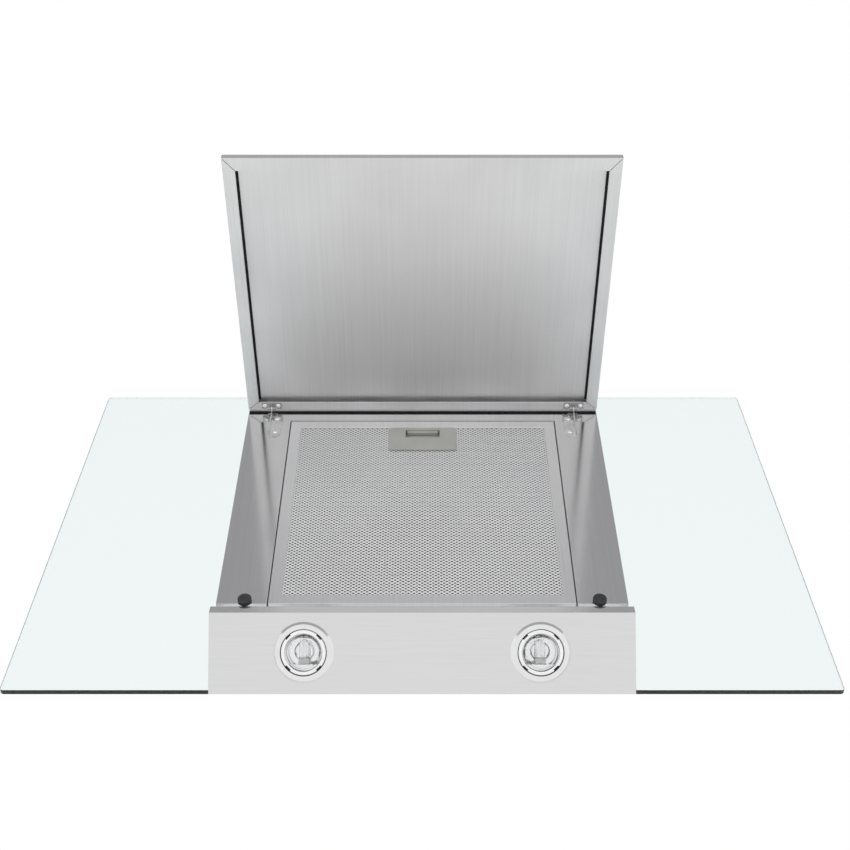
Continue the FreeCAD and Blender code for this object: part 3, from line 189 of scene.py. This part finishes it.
def cut_out(mesh, cutters):
    """Cuts closed boxes, each given as eight corners, out of a mesh.

    A face left with a hole in it is split into triangles, so that none of it can span
    the hole once the edges are rounded.
    """
    host = bpy.data.objects.new("host", mesh)
    tool = bpy.data.objects.new("tool", bpy.data.meshes.new("tool"))
    verts = [corner for box in cutters for corner in box]
    faces = [tuple(8 * k + i for i in side) for k in range(len(cutters)) for side in CUBE]
    tool.data.from_pydata(verts, [], faces)
    work = bmesh.new()
    work.from_mesh(tool.data)
    bmesh.ops.recalc_face_normals(work, faces=work.faces)
    work.to_mesh(tool.data)
    work.free()
    for thing in (host, tool):
        scene.collection.objects.link(thing)
    cut = host.modifiers.new("Cut", "BOOLEAN")
    cut.object, cut.solver = tool, "EXACT"
    bpy.context.view_layer.update()
    shown = host.evaluated_get(bpy.context.evaluated_depsgraph_get())
    done = bpy.data.meshes.new_from_object(shown)
    for thing in (host, tool):
        bpy.data.objects.remove(thing)
    work = bmesh.new()
    work.from_mesh(done)
    bmesh.ops.triangulate(work, faces=[face for face in work.faces if len(face.verts) > 4])
    for face in work.faces:
        face.smooth = True
    work.to_mesh(done)
    work.free()
    done.set_sharp_from_angle(angle=CREASE)
    return done


def merged(name, meshes):
    """Several meshes as one."""
    work = bmesh.new()
    for mesh in meshes:
        work.from_mesh(mesh)
    made = bpy.data.meshes.new(name)
    work.to_mesh(made)
    work.free()
    made.set_sharp_from_angle(angle=CREASE)
    return made


def principled(name, colour, rough, metal=0.0):
    """A material with its shader set up; colour is linear."""
    made = bpy.data.materials.new(name)
    made.use_nodes = True
    shader = made.node_tree.nodes["Principled BSDF"]
    shader.inputs["Base Color"].default_value = (*colour, 1)
    shader.inputs["Roughness"].default_value = rough
    shader.inputs["Metallic"].default_value = metal
    return made, shader


def between(tree, value, low, high, socket, start=0.3, end=0.7):
    """Runs a 0 to 1 mask into a socket between two colours or two values."""
    if isinstance(low, tuple):
        node = tree.nodes.new("ShaderNodeValToRGB")
        first, last = node.color_ramp.elements
        first.position, last.position = start, end
        first.color, last.color = (*low, 1), (*high, 1)
    else:
        node = tree.nodes.new("ShaderNodeMapRange")
        for name, number in (("From Min", start), ("From Max", end), ("To Min", low), ("To Max", high)):
            node.inputs[name].default_value = number
    tree.links.new(value, node.inputs[0])
    tree.links.new(node.outputs[0], socket)


def ridges(tree, shader, height, strength, depth):
    """Bump from a mask, with the depth in metres."""
    bump = tree.nodes.new("ShaderNodeBump")
    bump.inputs["Strength"].default_value = strength
    bump.inputs["Distance"].default_value = depth
    tree.links.new(height, bump.inputs["Height"])
    tree.links.new(bump.outputs[0], shader.inputs["Normal"])


def speckle():
    """Fine moulded texture and a little dust."""
    group = bpy.data.node_groups.new("Moulded skin", "ShaderNodeTree")
    size = group.interface.new_socket("Grain", in_out="INPUT", socket_type="NodeSocketFloat")
    size.default_value = 1500.0
    for name in ("Grit", "Haze"):
        group.interface.new_socket(name, in_out="OUTPUT", socket_type="NodeSocketFloat")
    add, join = group.nodes.new, group.links.new
    given, out = add("NodeGroupInput"), add("NodeGroupOutput")
    place = add("ShaderNodeTexCoord")
    for name, scale in (("Grit", None), ("Haze", 35.0)):
        noise = add("ShaderNodeTexNoise")
        noise.inputs["Detail"].default_value = 2
        join(place.outputs["Object"], noise.inputs["Vector"])
        if scale:
            noise.inputs["Scale"].default_value = scale
        else:
            join(given.outputs["Grain"], noise.inputs["Scale"])
        join(noise.outputs[0], out.inputs[name])
    return group


SKIN = speckle()


def clear(name, colour, rough, grain=60, bump=0.02, spread=1.6):
    """Glass with a faint waviness and a little dust in its polish."""
    made, shader = principled(name, colour, rough)
    shader.inputs["Transmission Weight"].default_value = 1
    shader.inputs["IOR"].default_value = 1.46
    tree = made.node_tree
    skin = tree.nodes.new("ShaderNodeGroup")
    skin.node_tree = SKIN
    skin.inputs["Grain"].default_value = grain
    between(tree, skin.outputs["Haze"], rough, rough * spread, shader.inputs["Roughness"])
    ridges(tree, shader, skin.outputs["Grit"], bump, 0.0002)
    return made


plate_glass = clear("Plate glass", (0.885, 0.945, 0.94), 0.004)
green_edge = clear("Plate glass edge", (0.62, 0.76, 0.70), 0.12, grain=400, bump=0.2)
canopy = piece("canopy_glass", from_solid("glass_canopy"), "housing", "clear_glass",
               [plate_glass, green_edge], "glass_canopy")
arris = canopy.modifiers.new("Arris", "BEVEL")
arris.width, arris.segments, arris.material = 0.9 * MM, 1, 1
arris.limit_method, arris.angle_limit = "ANGLE", radians(50)
glass_out = (on_glass(0, 0, 1) - on_glass(0, 0, 0)).normalized()
for face in canopy.data.polygons:
    if abs(face.normal @ glass_out) < 0.5:
        face.material_index = 1

# ---------------------------------------------------------------- intake box
# Box folded from 1.2 mm steel, brushed up the slope, with the opening for the filter
# and a galvanised ledge behind it. The glass screws hold it by its flange.


def grain():
    """Brushed lines: noise drawn out along one way of a surface turned about X."""
    group = bpy.data.node_groups.new("Brushed grain", "ShaderNodeTree")
    for name, value in (("Turn", 0.0), ("Across X", 900.0), ("Along", 6.0), ("Seed", 0.0)):
        socket = group.interface.new_socket(name, in_out="INPUT", socket_type="NodeSocketFloat")
        socket.default_value = value
    for name in ("Lines", "Clouds"):
        group.interface.new_socket(name, in_out="OUTPUT", socket_type="NodeSocketFloat")
    add, join = group.nodes.new, group.links.new
    given, out = add("NodeGroupInput"), add("NodeGroupOutput")
    place = add("ShaderNodeTexCoord")
    turn = add("ShaderNodeVectorRotate")
    turn.rotation_type = "X_AXIS"
    join(place.outputs["Object"], turn.inputs["Vector"])
    join(given.outputs["Turn"], turn.inputs["Angle"])
    stretch = add("ShaderNodeCombineXYZ")
    join(given.outputs["Across X"], stretch.inputs["X"])
    join(given.outputs["Along"], stretch.inputs["Y"])
    stretch.inputs["Z"].default_value = 6
    drawn = add("ShaderNodeVectorMath")
    drawn.operation = "MULTIPLY"
    join(turn.outputs[0], drawn.inputs[0])
    join(stretch.outputs[0], drawn.inputs[1])
    shifted = add("ShaderNodeVectorMath")
    join(drawn.outputs[0], shifted.inputs[0])
    join(given.outputs["Seed"], shifted.inputs[1])
    lines = add("ShaderNodeTexNoise")
    lines.inputs["Scale"].default_value = 1
    lines.inputs["Detail"].default_value = 5
    lines.inputs["Roughness"].default_value = 0.65
    join(shifted.outputs[0], lines.inputs["Vector"])
    join(lines.outputs[0], out.inputs["Lines"])
    clouds = add("ShaderNodeTexNoise")
    clouds.inputs["Scale"].default_value = 9
    clouds.inputs["Detail"].default_value = 3
    join(place.outputs["Object"], clouds.inputs["Vector"])
    join(clouds.outputs[0], out.inputs["Clouds"])
    return group


BRUSHED = grain()


def brushed(name, dark, light, rough, turn=0.0, across=900, along=6, seed=0.0, bump=0.1):
    """Brushed metal: grey from dark to light between its lines, and a little cloudy in polish."""
    made, shader = principled(name, (light,) * 3, rough, 1)
    tree = made.node_tree
    lines = tree.nodes.new("ShaderNodeGroup")
    lines.node_tree = BRUSHED
    for socket, value in (("Turn", turn), ("Across X", across), ("Along", along), ("Seed", seed)):
        lines.inputs[socket].default_value = value
    # Both greys are a trace blue.
    between(tree, lines.outputs["Lines"], (dark, dark, dark * 1.005), (light, light, light * 1.008),
            shader.inputs["Base Color"])
    between(tree, lines.outputs["Clouds"], rough * 0.85, rough * 1.15, shader.inputs["Roughness"])
    ridges(tree, shader, lines.outputs["Lines"], bump, 0.00005)
    return made


# Turns the grain so that its lines run up the 49.1 degree slope.
SLOPE_TURN = radians(-130.9)
box_steel = brushed("Box steel", 0.64, 0.69, 0.14, SLOPE_TURN, bump=0.03)
soften(piece("intake_shell", from_solid("intake_box"), "housing", "brushed_box",
             [box_steel], "intake_box"), 0.5)


def galvanising():
    """Zinc spangle: flat grains of slightly different grey."""
    group = bpy.data.node_groups.new("Zinc spangle", "ShaderNodeTree")
    size = group.interface.new_socket("Grain", in_out="INPUT", socket_type="NodeSocketFloat")
    size.default_value = 110.0
    group.interface.new_socket("Grey", in_out="OUTPUT", socket_type="NodeSocketFloat")
    add, join = group.nodes.new, group.links.new
    given, out = add("NodeGroupInput"), add("NodeGroupOutput")
    place, flakes = add("ShaderNodeTexCoord"), add("ShaderNodeTexVoronoi")
    join(place.outputs["Object"], flakes.inputs["Vector"])
    join(given.outputs["Grain"], flakes.inputs["Scale"])
    grey = add("ShaderNodeRGBToBW")
    join(flakes.outputs["Color"], grey.inputs[0])
    join(grey.outputs[0], out.inputs["Grey"])
    return group


ZINC = galvanising()


def zinc(name, dark, light, rough, scale=110):
    """Galvanised sheet: each flake its own grey, a trace blue, and its own polish."""
    made, shader = principled(name, (light,) * 3, rough, 1)
    tree = made.node_tree
    flakes = tree.nodes.new("ShaderNodeGroup")
    flakes.node_tree = ZINC
    flakes.inputs["Grain"].default_value = scale
    between(tree, flakes.outputs["Grey"], (dark, dark * 1.01, dark * 1.02),
            (light, light * 1.01, light * 1.02), shader.inputs["Base Color"], 0.2, 0.8)
    between(tree, flakes.outputs["Grey"], rough * 0.85, rough * 1.2,
            shader.inputs["Roughness"], 0.2, 0.8)
    return made


galvanised = zinc("Galvanised sheet", 0.5, 0.62, 0.42)
soften(piece("filter_ledge", from_solid("filter_seat"), "housing", "galvanised",
             [galvanised], "filter_seat"), 0.3)

# ---------------------------------------------------------------- lamp strip
# Level strip of 1.2 mm steel under the lower edge of the box and glass, with a turned-up
# lip, an end wall on each side and two lamp holes. Its brushing runs along it.
strip_steel = brushed("Strip steel", 0.69, 0.72, 0.2, across=14, along=700, seed=3.0, bump=0.03)
soften(piece("lamp_strip", from_solid("lamp_fascia"), "housing", "lamp_strip",
             [strip_steel], "lamp_fascia"), 0.45, 3)

# ---------------------------------------------------------------- lamps
# A turned chrome bezel is held in the strip by spring clips. Over it lie a dished
# reflector and a capsule in its socket, with a polished shield across them and a black
# ring as painted shade in the gap inside the bezel. The white ring, with four key notches,
# drops with its moulded lens.


def turned(name, profile, steps=96):
    """A ring or dish turned about an upright axis, from (radius, height) in mm, closed."""
    mesh = bpy.data.meshes.new(name)
    verts = [(r * MM * cos(2 * pi * k / steps), r * MM * sin(2 * pi * k / steps), z * MM)
             for k in range(steps) for r, z in profile]
    count, faces = len(profile), []
    for k in range(steps):
        here, there = k * count, (k + 1) % steps * count
        for i in range(count):
            after = (i + 1) % count
            faces.append((here + i, there + i, there + after, here + after))
    mesh.from_pydata(verts, [], faces)
    weld, soft_turn = 1e-7, radians(38)
    work = bmesh.new()
    work.from_mesh(mesh)
    bmesh.ops.remove_doubles(work, verts=work.verts, dist=weld)
    bmesh.ops.recalc_face_normals(work, faces=work.faces)
    for face in work.faces:
        face.smooth = True
    work.to_mesh(mesh)
    work.free()
    mesh.set_sharp_from_angle(angle=soft_turn)
    return mesh


def moulded(name, dark, light, rough, grit=1500, bump=0.15):
    """Plastic or rubber with a fine skin."""
    made, shader = principled(name, light, rough)
    tree = made.node_tree
    skin = tree.nodes.new("ShaderNodeGroup")
    skin.node_tree = SKIN
    skin.inputs["Grain"].default_value = grit
    between(tree, skin.outputs["Haze"], dark, light, shader.inputs["Base Color"])
    between(tree, skin.outputs["Grit"], rough * 0.85, rough * 1.1, shader.inputs["Roughness"])
    ridges(tree, shader, skin.outputs["Grit"], bump, 0.0001)
    return made


# This black rubber also stands as painted shade in the lamps' ring gaps.
rubber_and_painted_shade = moulded("Black rubber and painted shade", (0.012, 0.012, 0.013), (0.022, 0.022, 0.024), 0.5)
satin_chrome = brushed("Bezel chrome", 0.76, 0.82, 0.16, across=60, along=60, seed=5.0, bump=0.02)
mirror = brushed("Reflector", 0.84, 0.88, 0.14, across=400, along=400, seed=4.0, bump=0.05)
ring_white = moulded("Lens ring", (0.84, 0.84, 0.84), (0.88, 0.88, 0.88), 0.35,
                     grit=1400, bump=0.05)
lens_glass = clear("Lens", (0.97, 0.98, 0.98), 0.03, grain=900, bump=0.12, spread=1.5)
capsule_glass = clear("Capsule", (0.98, 0.98, 0.98), 0.08, grain=700, bump=0.1, spread=1.5)
porcelain = moulded("Porcelain", (0.86, 0.86, 0.84), (0.90, 0.90, 0.88), 0.4,
                    grit=900, bump=0.1)
lamp_spread, lamp_reach = 126, 45.4
for side, x in (("left", -lamp_spread), ("right", lamp_spread)):
    body = f"cover_{side}"
    spot = Matrix.Translation((x * MM, -lamp_reach * MM, LIFT))
    bezel = turned("bezel", (
        (24.9, -2.4), (25.5, -2.4), (29.95, -2.4), (32.35, 0),
        (26.4, 0), (26.4, 12), (24.9, 12)))
    bezel.transform(spot)
    piece(f"bezel_{side}", bezel, "housing", "lamp_chrome", [satin_chrome], f"lamp_bezel_{side}")
    # A black ring paints the shade in the gap inside the bezel and behind the ring's notches.
    painted_shade_ring = turned("painted_shade_ring", ((22.6, 2.25), (24.87, 2.25), (24.87, 3.15), (22.6, 3.15)))
    painted_shade_ring.transform(spot)
    piece(f"lamp_painted_shade_{side}", painted_shade_ring, "housing", "black_rubber", [rubber_and_painted_shade])
    dish = turned("dish", (
        (0.01, 12.4), (8.2, 12.4), (9.4, 11.3), (10.4, 12.2), (15.2, 12.3), (18.2, 11), (20.4, 7.6),
        (22.2, 3.2), (24.8, 3.2), (24.8, 3.8), (22.7, 3.8), (18.8, 11.4), (15.6, 13), (0.01, 13)))
    dish.transform(spot)
    piece(f"reflector_{side}", dish, "housing", "lamp_chrome", [mirror], f"lamp_reflector_{side}")
    shield = turned("shield", ((0.01, 1.75), (20.4, 1.75), (20.4, 2.35), (0.01, 2.35)), 64)
    chord, past = 12.9, 22
    shield = cut_out(shield, [[Vector((cx * MM, cy * MM, cz * MM)) for cz in (1, 3) for cx, cy in (
        (-past, -past), (past, -past), (past, chord), (-past, chord))]])
    shield.transform(spot)
    piece(f"socket_shield_{side}", shield, "housing", "lamp_chrome", [mirror])
    for node, name, slot, finish in (("lamp_socket", "socket", "ceramic", porcelain),
                                     ("lamp_bulb", "capsule", "lamp_glass", capsule_glass),
                                     ("lamp_clips", "lamp_springs", "lamp_chrome", satin_chrome)):
        piece(f"{name}_{side}", from_solid(f"{node}_{side}"), "housing", slot, [finish], f"{node}_{side}")
    ring = from_solid(f"lens_ring_{side}")
    soften(piece(f"cover_ring_{side}", ring, body, "white_ring", [ring_white], f"lens_ring_{side}"), 0.25)
    lens = turned("lens", (
        (0.01, -0.8), (8, -0.8), (14, -0.75), (20.1, -0.6), (21.3, -0.6), (21.3, 1.2), (18.4, 1.15),
        (17.4, 0.4), (16.4, 1.15), (14.4, 0.4), (12.4, 1.15), (10.4, 0.6), (8.4, 1.15), (0.01, 1.15)))
    lens.transform(spot)
    piece(f"lens_{side}", lens, body, "lamp_glass", [lens_glass], f"lamp_lens_{side}")

# ---------------------------------------------------------------- panel catches
# Two black rubber posts with slightly domed tops, on the box's face beside the lower
# edge of the filter, which hold the shut panel.
for side in ("left", "right"):
    soften(piece(f"catch_post_{side}", from_solid(f"panel_catch_{side}"), "housing", "black_plastic",
                 [rubber_and_painted_shade], f"panel_catch_{side}"), 0.4)

# ---------------------------------------------------------------- hinges
# Zinc-plated brackets on the box and leaves on the panel's flange turn on a pin; the
# leaves' plating is painted darker as shade. Pan-head screws with a cross recess hold both.


def on_slope(x, up, out):
    """A point on the filter's face: across, up the slope and out of it, in mm."""
    lean, foot_reach, foot_rise = radians(49.1), 95.3, 14.7
    reach = foot_reach + up * cos(lean) + out * sin(lean)
    rise = foot_rise + up * sin(lean) - out * cos(lean)
    return Vector((x * MM, -reach * MM, rise * MM + LIFT))


def on_panel(x, along, out):
    """A point on the open panel: across, along it from the hinge axis and up from its back.

    The axis' own rise counts from the frame's origin.
    """
    lean, axis_near, axis_rise = radians(42.2), -320.584, 4.084
    return Vector((x * MM, (axis_near + along * cos(lean) - out * sin(lean)) * MM,
                   (axis_rise + along * sin(lean) + out * cos(lean)) * MM))


def pan_screw(spot, facing, radius, tall, shank, deep, turn):
    """One pan-head screw with a cross recess, head towards facing, from the head's underside."""
    profile = [(0.01, tall), (radius * 0.45, tall * 0.96), (radius * 0.78, tall * 0.72),
               (radius * 0.96, tall * 0.34), (radius, 0), (shank, 0), (shank, -deep), (0.01, -deep)]
    made = turned("screw", profile, 24)
    slot_long, slot_half, levels = radius * 0.62, 0.42, (tall * 0.42, tall + 1)
    cross = []
    for long, wide in ((slot_long, slot_half), (slot_half, slot_long)):
        cross.append([Vector((cx * MM, cy * MM, cz * MM)) for cz in levels for cx, cy in (
            (-long, -wide), (long, -wide), (long, wide), (-long, wide))])
    made = cut_out(cut_out(made, cross[:1]), cross[1:])
    made.transform(Matrix.Translation(spot) @ facing.to_track_quat("Z", "Y").to_matrix().to_4x4()
                   @ Matrix.Rotation(turn, 4, "Z"))
    return made


plated = brushed("Bright zinc plate", 0.52, 0.74, 0.11, SLOPE_TURN,
                 across=120, along=60, seed=9.0, bump=0.04)
# The leaves have the same plating painted darker, as the shade round the hinges.
leaf_plate_in_shade = brushed("Hinge leaf plate in painted shade", 0.30, 0.42, 0.16, SLOPE_TURN,
                     across=120, along=60, seed=10.0, bump=0.04)
screw_steel = brushed("Screw heads", 0.78, 0.88, 0.08, across=500, along=500, seed=12.0, bump=0.05)
slope_out = (on_slope(0, 0, 1) - on_slope(0, 0, 0)).normalized()
panel_in = (on_panel(0, 0, -1) - on_panel(0, 0, 0)).normalized()
foot_across, foot_top, foot_runs = 184.75, 1.2, (295.6, 322.0)
leaf_across, leaf_apart, leaf_run, leaf_top = 192, 8.5, -4.2, -0.2
for side, sign in (("left", -1), ("right", 1)):
    for node, name, body, finish, width in (
            ("hinge_bracket", "bracket", "housing", plated, 0.25),
            ("hinge_leaf", "leaf", "panel", leaf_plate_in_shade, 0.25),
            ("hinge_pin", "pin", "panel", plated, 0.15)):
        soften(piece(f"{name}_{side}", from_solid(f"{node}_{side}"), body, "bright_screws",
                     [finish], f"{node}_{side}"), width)
    foot = [pan_screw(on_slope(sign * foot_across, run, foot_top), slope_out,
                      radius=3.6, tall=1.6, shank=1.6, deep=4.4, turn=turn)
            for run, turn in zip(foot_runs, (0.5, 1.1))]
    piece(f"foot_screws_{side}", merged("foot_screws", foot), "housing", "bright_screws",
          [screw_steel], f"bracket_screws_{side}")
    flange = [pan_screw(on_panel(sign * leaf_across + way * leaf_apart, leaf_run, leaf_top),
                        panel_in, radius=3.0, tall=1.6, shank=1.6, deep=4.2, turn=turn)
              for way, turn in ((-1, 0.2), (1, 0.9))]
    piece(f"flange_screws_{side}", merged("flange_screws", flange), "panel", "bright_screws",
          [screw_steel], f"leaf_screws_{side}")

# ---------------------------------------------------------------- suction panel
# Flat tray that shuts over the filter and leaves a slot all round: brushed 1 mm skin,
# four folded edges and a return flange, mitred at the corners, with its hinged end painted
# black as the shade in the gap there.
panel_steel = brushed("Panel steel", 0.77, 0.84, 0.50, radians(-42.2),
                      along=5, seed=1.0, bump=0.03)
tray = from_solid("suction_panel")
seams, seam_half, seam_levels = [], 0.28, (0.4, 2.6)
corner_left_whole, past_corner = 2.2, 0.8
for sign in (-1, 1):
    for outer, inner in (((222, -353.1), (208, -337.1)), ((222, 2.9), (208, -8.9))):
        start, end = Vector(outer), Vector(inner)
        way = (end - start).normalized()
        start, end = start + way * corner_left_whole, end + way * past_corner
        off = Vector((-way.y, way.x)) * seam_half
        seams.append([on_panel(sign * c.x, c.y, level) for level in seam_levels
                      for c in (start - off, end - off, end + off, start + off)])
tray = cut_out(tray, seams)
# Dead black as painted shade: in the gap at the panel's hinged end and under its side flanges.
painted_shade_black = moulded("Black painted shade", (0.006, 0.006, 0.007), (0.012, 0.012, 0.013), 0.8,
               grit=2500, bump=0.3)
hinge_way = (on_panel(0, 1, 0) - on_panel(0, 0, 0)).normalized()
end_wall = on_panel(0, 2, 0) @ hinge_way
# The hinged end wall gets the painted shade.
for face in tray.polygons:
    if face.normal @ hinge_way > 0.9 and face.center @ hinge_way > end_wall:
        face.material_index = 1
soften(piece("panel_tray", tray, "panel", "brushed_panel", [panel_steel, painted_shade_black], "suction_panel"),
       seam_half * 0.6)


def painted_shade_bar(x, along, out):
    """A flat bar on the panel between two values each way."""
    corners = [on_panel(x[i], along[j], out[k])
               for k in (0, 1) for i, j in ((0, 0), (1, 0), (1, 1), (0, 1))]
    made = bpy.data.meshes.new("bar")
    made.from_pydata(corners, [], CUBE)
    return made


# A line of the same black inside each side flange is painted shade under the flange.
shade_line_inner, shade_line_outer, shade_line_along, shade_line_levels = 205.6, 208.7, (-337.5, -8.4), (7.7, 8)
piece("panel_shade_lines", merged("panel_shade_lines", [
    painted_shade_bar(sorted((sign * shade_line_inner, sign * shade_line_outer)), shade_line_along, shade_line_levels)
    for sign in (-1, 1)]), "panel", "black_rubber", [painted_shade_black])

# ---------------------------------------------------------------- grease filter
# Layers of expanded aluminium in a channel frame that lifts out of the box, with a grey
# handle plate whose finger cup holds the latch. The face mesh has staggered openings, one
# in each cell of 6 mm by 4.5 mm.
mesh_half, mesh_low, mesh_high, mesh_level = 159, 6, 312, -1.6
handle_half, handle_low, handle_high = 23.5, 281.5, 302.5
cell_wide, cell_tall, sheet = 6.0, 4.48, 0.55


def expanded():
    """The face mesh: a cell round each opening, its strands tilted as stretching leaves them."""
    verts, faces, corners = [], [], {}
    wide, tall = cell_wide / 2, cell_tall / 2
    columns, rows = int(mesh_half / wide), int((mesh_high - mesh_low) / tall)
    hole = ((0.27, 0.0), (0.14, 0.25), (-0.14, 0.25), (-0.27, 0.0), (-0.14, -0.25), (0.14, -0.25))
    tilt, tilt_span = 0.22, 0.6

    def corner(i, j):
        """The number of a corner that neighbouring cells share."""
        if (i, j) not in corners:
            corners[i, j] = len(verts)
            verts.append(on_slope(i * wide, mesh_low + j * tall, mesh_level))
        return corners[i, j]

    for j in range(1, rows):
        for i in range(-columns + 1, columns):
            x, up = i * wide, mesh_low + j * tall
            if (i + j) % 2 or abs(x) < handle_half and handle_low < up < handle_high:
                continue
            right, top = corner(i + 1, j), corner(i, j + 1)
            left, bottom = corner(i - 1, j), corner(i, j - 1)
            first = len(verts)
            for dx, dy in hole:
                verts.append(on_slope(x + dx * cell_wide, up + dy * cell_tall,
                                      mesh_level - dy * 2 * tilt / tilt_span))
            h = [first + k for k in range(6)]
            faces += [(right, top, h[1], h[0]), (top, h[2], h[1]), (top, left, h[3], h[2]),
                      (left, bottom, h[4], h[3]), (bottom, h[5], h[4]), (bottom, right, h[0], h[5])]
    mesh = bpy.data.meshes.new("mesh_face")
    mesh.from_pydata(verts, [], faces)
    mesh.update()
    return mesh


aluminium = brushed("Bright aluminium", 0.90, 0.95, 0.42, SLOPE_TURN,
                    across=300, along=300, seed=2.0, bump=0.03)
# The layers behind the face mesh are painted near black, as the shade deep in the filter.
shaded_layer_aluminium = brushed("Aluminium in painted shade", 0.06, 0.12, 0.55, SLOPE_TURN,
                         across=260, along=260, seed=6.0)
face_mesh = piece("mesh_face", expanded(), "filter", "filter_aluminium", [aluminium], "filter_mesh")
thick = face_mesh.modifiers.new("Sheet", "SOLIDIFY")
thick.thickness, thick.offset = sheet * MM, 0
frame_steel = brushed("Filter frame", 0.76, 0.82, 0.34, SLOPE_TURN,
                      across=500, along=8, seed=8.0, bump=0.04)
soften(piece("cassette_frame", from_solid("filter_frame"), "filter", "filter_aluminium",
             [frame_steel], "filter_frame"), 0.5)
# Inner layers and back mesh get that painted shade.
for node in ("filter_core", "filter_back_mesh"):
    NODES[node].data.materials.clear()
    NODES[node].data.materials.append(shaded_layer_aluminium)
grey = moulded("Grey plastic", (0.325, 0.325, 0.305), (0.365, 0.365, 0.345), 0.5)
soften(piece("handle_plate", from_solid("filter_handle"), "filter", "grey_plastic",
             [grey], "filter_handle"), 0.35)
soften(piece("latch_bar", from_solid("filter_latch"), "latch", "grey_plastic",
             [grey], "filter_latch"), 0.25)

# ---------------------------------------------------------------- blower casing
# Galvanised casing of 1 mm sheet between the back of the glass and the wall plate, which
# bolts to the wall. Rubber frames seal casing and box against the glass, and the canopy
# screws hold the glass to the box.
for node, name, slot, finish, width in (
        ("blower_casing", "casing_shell", "galvanised", galvanised, 0.5),
        ("wall_plate", "wall_sheet", "galvanised", galvanised, 0.3),
        ("glass_gasket", "glass_seal", "black_rubber", rubber_and_painted_shade, 0.3),
        ("casing_gasket", "casing_seal", "black_rubber", rubber_and_painted_shade, 0.3),
        ("glass_screws", "canopy_screws", "bright_screws", plated, 0.3)):
    soften(piece(name, from_solid(node), "housing", slot, [finish], node), width)

# ---------------------------------------------------------------- fan and outlet
# Scroll of galvanised sheet with a moulded wheel of 24 forward-curved blades, a moulded
# inlet on its open cheek and a grey painted motor bolted to the closed one. The collar on
# top of the casing carries two flaps on rods.
black = moulded("Black plastic", (0.016, 0.016, 0.018), (0.026, 0.026, 0.028), 0.38)
painted = moulded("Motor paint", (0.055, 0.058, 0.062), (0.075, 0.078, 0.083), 0.45,
                  grit=1200, bump=0.25)
for node, name, body, slot, finish, width in (
        ("scroll_casing", "scroll", "housing", "galvanised", galvanised, 0.3),
        ("inlet_ring", "inlet_bell", "housing", "black_plastic", black, 0.2),
        ("impeller", "fan_wheel", "fan", "black_plastic", black, 0.1),
        ("motor_shaft", "shaft", "fan", "bright_screws", plated, 0.3),
        ("motor_body", "motor", "housing", "motor_grey", painted, 0.4),
        ("outlet_collar", "collar", "housing", "galvanised", galvanised, 0.1),
        ("flap_pins", "flap_rods", "housing", "bright_screws", plated, 0.1),
        ("flap_front", "front_flap", "flap_front", "galvanised", galvanised, 0.1),
        ("flap_rear", "rear_flap", "flap_rear", "galvanised", galvanised, 0.1)):
    soften(piece(name, from_solid(node), body, slot, [finish], node), width)

# ---------------------------------------------------------------- electrics
# Moulded control box with a lid, the motor's capacitor in its strap on the wall plate,
# and the gland in the casing where the mains lead comes in.
for node, name, slot, finish, width in (
        ("control_box", "control_case", "black_plastic", black, 0.6),
        ("control_lid", "control_cover", "black_plastic", black, 0.5),
        ("capacitor", "run_capacitor", "white_ring", ring_white, 0.4),
        ("capacitor_clip", "capacitor_strap", "galvanised", galvanised, 0.2),
        ("cable_gland", "gland", "black_plastic", black, 0.3)):
    soften(piece(name, from_solid(node), "housing", slot, [finish], node), width)
